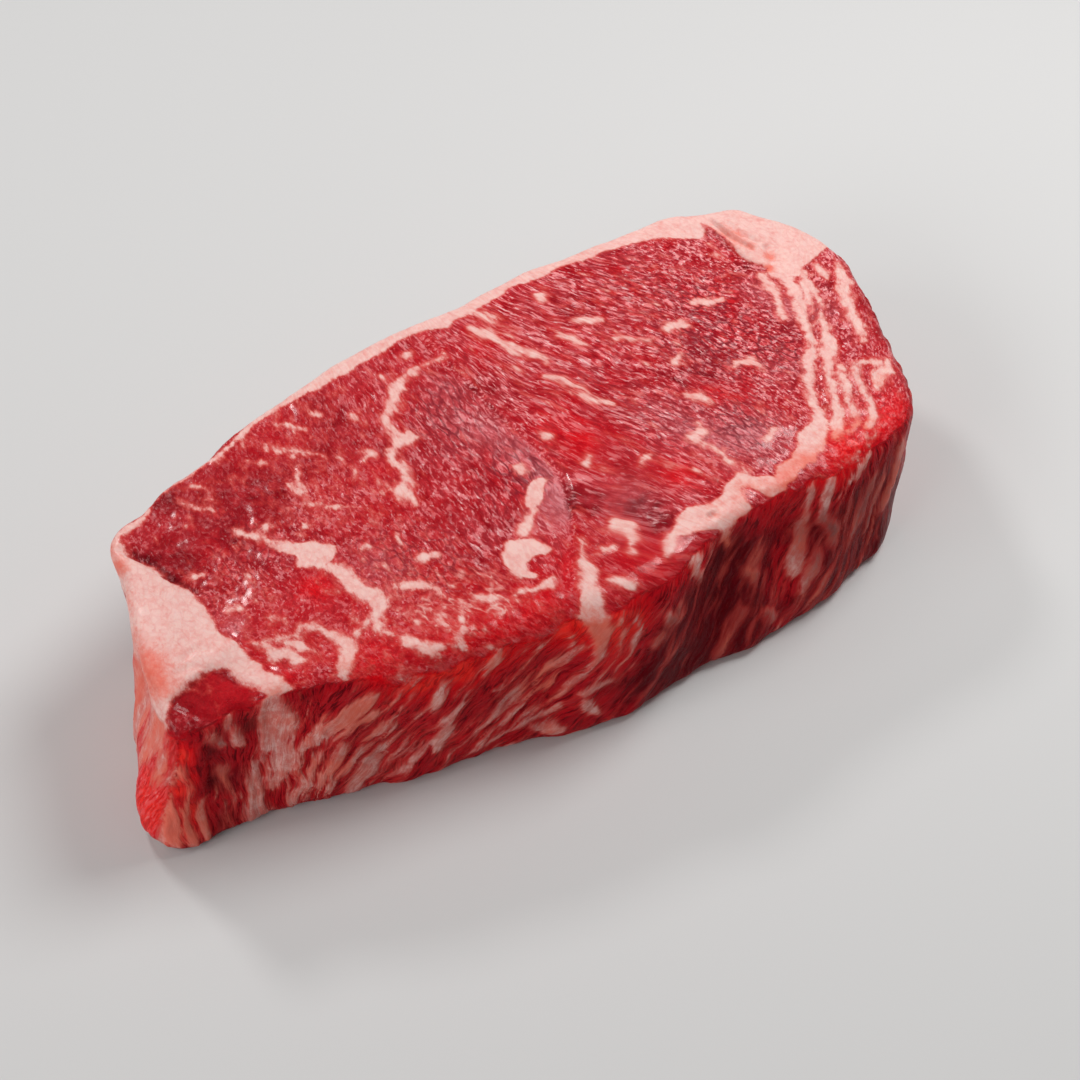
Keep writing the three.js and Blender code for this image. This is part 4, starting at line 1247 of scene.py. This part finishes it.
@dataclass(frozen=True)
class RawBeef:
    """Raw beef: wet lean, fat seams and rind in one finish."""

    lean_dark: Colour = linear(92, 0, 10)
    # The dark of the wrinkles' creases: painted shade.
    crease_shade: Colour = linear(116, 10, 30)
    # The lean in the shade of its low strands: painted shade.
    lean_in_shade: Colour = linear(138, 6, 20)
    lean: Colour = linear(186, 16, 28)
    lean_bright: Colour = linear(224, 12, 22)
    # Brighter than the lean's own red: a painted glow.
    painted_glow_red: Colour = linear(255, 44, 34)
    # Milky pink of the fibres, partly painted sheen.
    lean_pink: Colour = linear(216, 84, 92)
    # Paler milky pink of the strands' crests: partly painted highlight.
    milky_highlight: Colour = linear(240, 152, 154)
    # A near-white glint: painted highlight.
    painted_glint: Colour = linear(252, 216, 214)
    # The dull purple sheen: painted sheen.
    sheen: Colour = linear(216, 134, 140)
    fat_pale: Colour = linear(236, 192, 184)
    fat_pink: Colour = linear(228, 154, 146)
    # The fat as it looks in shade, used on the walls: painted shade.
    fat_in_shade: Colour = linear(200, 114, 108)
    fat_edge: Colour = linear(212, 68, 62)
    fat_salmon: Colour = linear(230, 108, 88)
    light_under_skin: float = 0.1
    light_reach: Colour = (1.0, 0.25, 0.15)
    light_scale: float = 0.001
    bending: float = 1.4
    reflection: float = 0.05
    juice_roughness: float = 0.16
    bump_strength: float = 0.9
    bump_height: float = 0.45

    def material(self) -> bpy.types.Material:
        """Makes the material.

        Returns:
            The material.
        """
        shade = Shade("raw_beef")
        place = shade.place()
        grain = shade.attribute_vector(Part.GRAIN)
        wall = shade.attribute(Part.WALL)
        patches = shade.noise(place, 3.6, 3.0, 0.6)
        calm = shade.attribute(Part.CALM)
        still = shade.noise(place, 1.0, 3.0, 0.6, 0.4)
        strands = calm * shade.noise(grain, 0.78, 3.0, 0.64, 0.4) + (1 - calm) * still
        clouds = calm * (shade.noise(grain, 2.6, 3.0, 0.6) - 0.5) + 0.5
        borders = shade.cell_borders(shade.wobble(grain, 2.2, 0.8), 1.9)
        wrinkles = shade.attribute(Part.WRINKLES) * patches.ease(0.4, 0.6, 0.5, 1.0)
        tone = shade.attribute(Part.TONE)
        soft = wall * tone.ease(0.0, -0.7, 0.0, 0.35)
        near = (self.near_fat(shade, grain, patches) + 0.3 * wall) * (1 - soft)

        fat = near.ease(0.75, -0.55)
        cracks = calm * borders.ease(0.14, 0.03)
        lean = self.lean_colour(shade, near, patches, clouds, strands, cracks * wrinkles)
        fat_colour = shade.mix(0.12 * cracks, self.fat_colour(shade, near, strands, wall), self.fat_edge)
        colour = shade.mix(fat, lean, fat_colour)
        lean_height = 0.8 * strands - cracks * (0.1 + 0.5 * wrinkles)
        height = (1 - fat) * lean_height + fat * (0.35 + 0.35 * strands)
        juicy = (1 - 0.7 * fat) * tone.ease(0.2, 0.8, 1.0, 0.5) * tone.ease(-0.5, -0.2, 0.15, 1.0)
        bump = shade.node(
            "ShaderNodeBump",
            {},
            {"Strength": self.bump_strength, "Distance": self.bump_height * MM, "Height": height},
        )
        surface = shade.node(
            "ShaderNodeBsdfPrincipled",
            {"subsurface_method": "RANDOM_WALK"},
            {
                "Base Color": colour,
                "Roughness": patches.ease(0.3, 0.7, 0.26, 0.42),
                "IOR": self.bending,
                "Specular IOR Level": self.reflection,
                "Subsurface Weight": self.light_under_skin,
                "Subsurface Radius": self.light_reach,
                "Subsurface Scale": self.light_scale,
                "Coat Weight": (1 - wall) * calm * juicy * patches.ease(0.4, 0.6, 0.2, 0.55),
                "Coat Roughness": self.juice_roughness,
                "Normal": bump,
            },
        )
        return shade.finish(surface)

    def near_fat(self, shade: Shade, grain: Sock, patches: Sock) -> Sock:
        """How near the fat is: the drawn seams with their frayed edges, and a fine net between them.

        Args:
            shade: The node tree.
            grain: The point in the grain's own directions.
            patches: The noise of patches a few millimetres wide.

        Returns:
            About the millimetres to the fat, negative in it.
        """
        calm = shade.attribute(Part.CALM)
        still = shade.noise(shade.place(), 1.6, 3.0, 0.64)
        fray = calm * shade.noise(grain, 1.6, 3.0, 0.64) + (1 - calm) * still - 0.5
        drawn = shade.attribute(Part.FAT_EDGE) + 4.0 * fray
        strand = (shade.noise(shade.wobble(grain, 3.0, 1.2), 2.3, 2.0, 0.55) - 0.5).size()
        open_lean = 4.9 - 3.0 * calm - 1.9 * shade.attribute(Part.MARBLING) - 3.6 * (patches - 0.5)
        return drawn.min(9.0 * strand + open_lean + 1.8 * fray)

    def lean_colour(
        self, shade: Shade, near: Sock, patches: Sock, clouds: Sock, strands: Sock, cracks: Sock
    ) -> Sock:
        """The lean's colour.

        Args:
            shade: The node tree.
            near: Millimetres to the frayed edge of the fat.
            patches: The noise of patches a few millimetres wide.
            clouds: The noise of bundles of fibres, drawn out along the grain.
            strands: The noise of single fibres.
            cracks: 1 in the wrinkles between bundles of fibres, 0 between them.

        Returns:
            The colour.
        """
        tone = shade.attribute(Part.TONE) + 0.9 * (patches - 0.5)
        haze = shade.attribute(Part.HAZE)
        # The tone's painted shade and painted light go into the lean's colour here, with its own dark and
        # bright red.
        base = shade.mix(tone.ease(0.1, -0.8), self.lean, self.lean_dark)
        base = shade.mix(tone.ease(0.1, 0.8), base, self.lean_bright)
        # Where the tone runs past 0.8 the lean goes to the painted glow: painted light.
        base = shade.mix(tone.ease(0.8, 1.1), base, self.painted_glow_red)
        # Broad milky pink: partly the fibres' own colour, partly painted sheen.
        veiled = (0.5 * clouds + 0.5 * patches).ease(0.38, 0.6, 0.05, 0.8)
        base = shade.mix(haze * veiled, base, self.lean_pink)
        # The low strands, where the bump sinks, are darkened: painted shade over the fibres' own darker
        # red.
        base = shade.mix(strands.ease(0.52, 0.38) * (0.3 + 0.5 * haze), base, self.lean_in_shade)
        gaps = shade.attribute(Part.WALL) * shade.attribute(Part.CALM) * strands.ease(0.5, 0.36, 0.0, 0.85)
        gaps = gaps * shade.attribute(Part.WRINKLES).ease(0.0, 0.2) * tone.ease(0.1, 0.7, 1.0, 0.2)
        base = shade.mix(gaps, base, self.lean_dark)
        # The crests of the strands, where the bump rises, are drawn pale: painted highlights over the
        # fibres' own milky pink.
        pale_strand_highlights = (strands + 0.45 * (clouds - 0.5)).ease(0.49, 0.64)
        base = shade.mix(pale_strand_highlights * haze * 0.95, base, self.milky_highlight)
        # Small near-white glints on the pale strands: painted highlights.
        painted_glints = shade.noise(shade.attribute_vector(Part.GRAIN), 0.5, 1.0).ease(0.58, 0.68)
        base = shade.mix(painted_glints * pale_strand_highlights * haze * 0.8, base, self.painted_glint)
        base = shade.mix(near.ease(1.6, 0.3, 0.0, 0.45), base, self.fat_edge)
        # The dull purple sheen is painted into the colour.
        base = shade.mix(shade.attribute(Part.SHEEN) * strands.ease(0.4, 0.6, 0.4, 0.85), base, self.sheen)
        # The wrinkles between bundles of fibres are darkened: painted shade in the creases.
        return shade.mix(0.75 * cracks, base, self.crease_shade)

    def fat_colour(self, shade: Shade, near: Sock, strands: Sock, wall: Sock) -> Sock:
        """The fat's colour.

        Args:
            shade: The node tree.
            near: Millimetres to the frayed edge of the fat, negative in it.
            strands: The noise of single fibres.
            wall: 0 on a cut face, 1 on a wall.

        Returns:
            The colour.
        """
        mottle = 0.6 * shade.noise(shade.place(), 2.4, 4.0, 0.7) + 0.4 * strands
        base = shade.mix(mottle.ease(0.42, 0.66, 0.0, 0.7), self.fat_pale, self.fat_pink)
        # On the walls the fat is mixed towards its shaded copy, and where the tone is dark towards the dark
        # lean: painted shade.
        base = shade.mix(wall * mottle.ease(0.38, 0.6, 0.3, 0.95), base, self.fat_in_shade)
        base = shade.mix(wall * shade.attribute(Part.TONE).ease(0.1, -0.7, 0.0, 0.8), base, self.lean_dark)
        base = shade.mix(near.ease(-1.2, 0.5, 0.0, 0.8) * (1 - 0.55 * wall), base, self.fat_edge)
        salmon = (shade.attribute(Part.SALMON) + 0.9 * (mottle - 0.5)).ease(0.05, 0.95, 0.0, 0.9)
        return shade.mix(salmon, base, self.fat_salmon)


@dataclass(frozen=True)
class Lamp:
    """A soft round lamp that faces the steak.

    Attributes:
        name: Its name.
        turn: The side that it stands on, in degrees, as for the camera.
        lift: Its height above the horizon, in degrees.
        away: Its distance in metres.
        size: Its width in metres.
        power: Its power in watts.
    """

    name: str
    turn: float
    lift: float
    away: float
    size: float
    power: float


@dataclass
class Studio:
    """The floor, the lights and the camera, whose aim and distance are millimetres."""

    floor_size: float = 4.0
    floor_colour: Colour = linear(206, 205, 204)
    floor_roughness: float = 0.8
    floor_drop: float = 0.02
    lamps: tuple[Lamp, ...] = (
        Lamp("left", -104, 40, 0.9, 0.3, 1.15),
        Lamp("right", 92, 54, 0.7, 0.35, 3.2),
        Lamp("glint", -174, 42, 0.9, 0.16, 2.1),
        Lamp("fill", -76, 26, 1.2, 0.6, 4.2),
    )
    surroundings: float = 0.18
    aim: tuple[float, float, float] = (-10.2, -25.9, 42.0)
    turn: float = -34.0
    lift: float = 48.0
    distance: float = 440.0
    lens_pixels: float = 2000.0
    nearest: float = 10.0

    def floor(self) -> None:
        """Makes the floor."""
        deselect_all()
        bpy.ops.mesh.primitive_plane_add(size=self.floor_size, location=(0, 0, -self.floor_drop * MM))
        floor = bpy.context.object
        floor.name = "floor"
        shade = Shade("pale_floor")
        values = {"Base Color": (*self.floor_colour, 1), "Roughness": self.floor_roughness}
        surface = shade.node("ShaderNodeBsdfPrincipled", {}, values)
        floor.data.materials.append(shade.finish(surface))
        deselect_all()

    def light(self, lamp: Lamp) -> None:
        """Adds a lamp.

        Args:
            lamp: The lamp.
        """
        data = bpy.data.lights.new(lamp.name, "AREA")
        data.shape = "DISK"
        data.size = lamp.size
        data.energy = lamp.power
        thing = bpy.data.objects.new(lamp.name, data)
        bpy.context.scene.collection.objects.link(thing)
        thing.location = [b * lamp.away for b in self.direction(lamp.turn, lamp.lift)]
        thing.rotation_euler = (math.radians(90 - lamp.lift), 0, math.radians(lamp.turn))

    @staticmethod
    def direction(turn: float, lift: float) -> tuple[float, float, float]:
        """The direction from the steak to a place round it.

        Args:
            turn: Degrees round the steak; 0 is in front.
            lift: Degrees above the horizon.

        Returns:
            The direction, of length 1.
        """
        a, e = math.radians(turn), math.radians(lift)
        return (math.sin(a) * math.cos(e), -math.cos(a) * math.cos(e), math.sin(e))

    def camera(self) -> None:
        """Places the camera as the photograph's."""
        back = self.direction(self.turn, self.lift)
        data = bpy.data.cameras.new("camera")
        data.lens = self.lens_pixels / FRAME_PIXELS * SENSOR_WIDTH
        data.sensor_width = SENSOR_WIDTH
        camera = bpy.data.objects.new("camera", data)
        bpy.context.scene.collection.objects.link(camera)
        camera.location = [(t + b * self.distance) * MM for t, b in zip(self.aim, back)]
        camera.rotation_euler = (math.radians(90 - self.lift), 0, math.radians(self.turn))
        data.clip_start = self.nearest * MM
        bpy.context.scene.camera = camera

    def build(self) -> None:
        """Makes the floor, the lights, the surroundings and the camera."""
        self.floor()
        for lamp in self.lamps:
            self.light(lamp)
        world = bpy.data.worlds.new("studio")
        world.use_nodes = True
        backdrop = world.node_tree.nodes["Background"]
        backdrop.inputs["Color"].default_value = (1, 1, 1, 1)
        backdrop.inputs["Strength"].default_value = self.surroundings
        bpy.context.scene.world = world
        bpy.context.scene.view_settings.view_transform = "Standard"
        self.camera()


def main() -> None:
    """Builds the steak and the studio."""
    steak = Steak().build()
    steak.data.materials.append(RawBeef().material())
    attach(steak, "root")
    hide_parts(NODE)
    log.info("%s: %d vertices, %d faces", steak.name, len(steak.data.vertices), len(steak.data.polygons))
    Studio().build()
    log.info("studio: floor, lights and camera")


if __name__ == "__main__":
    main()
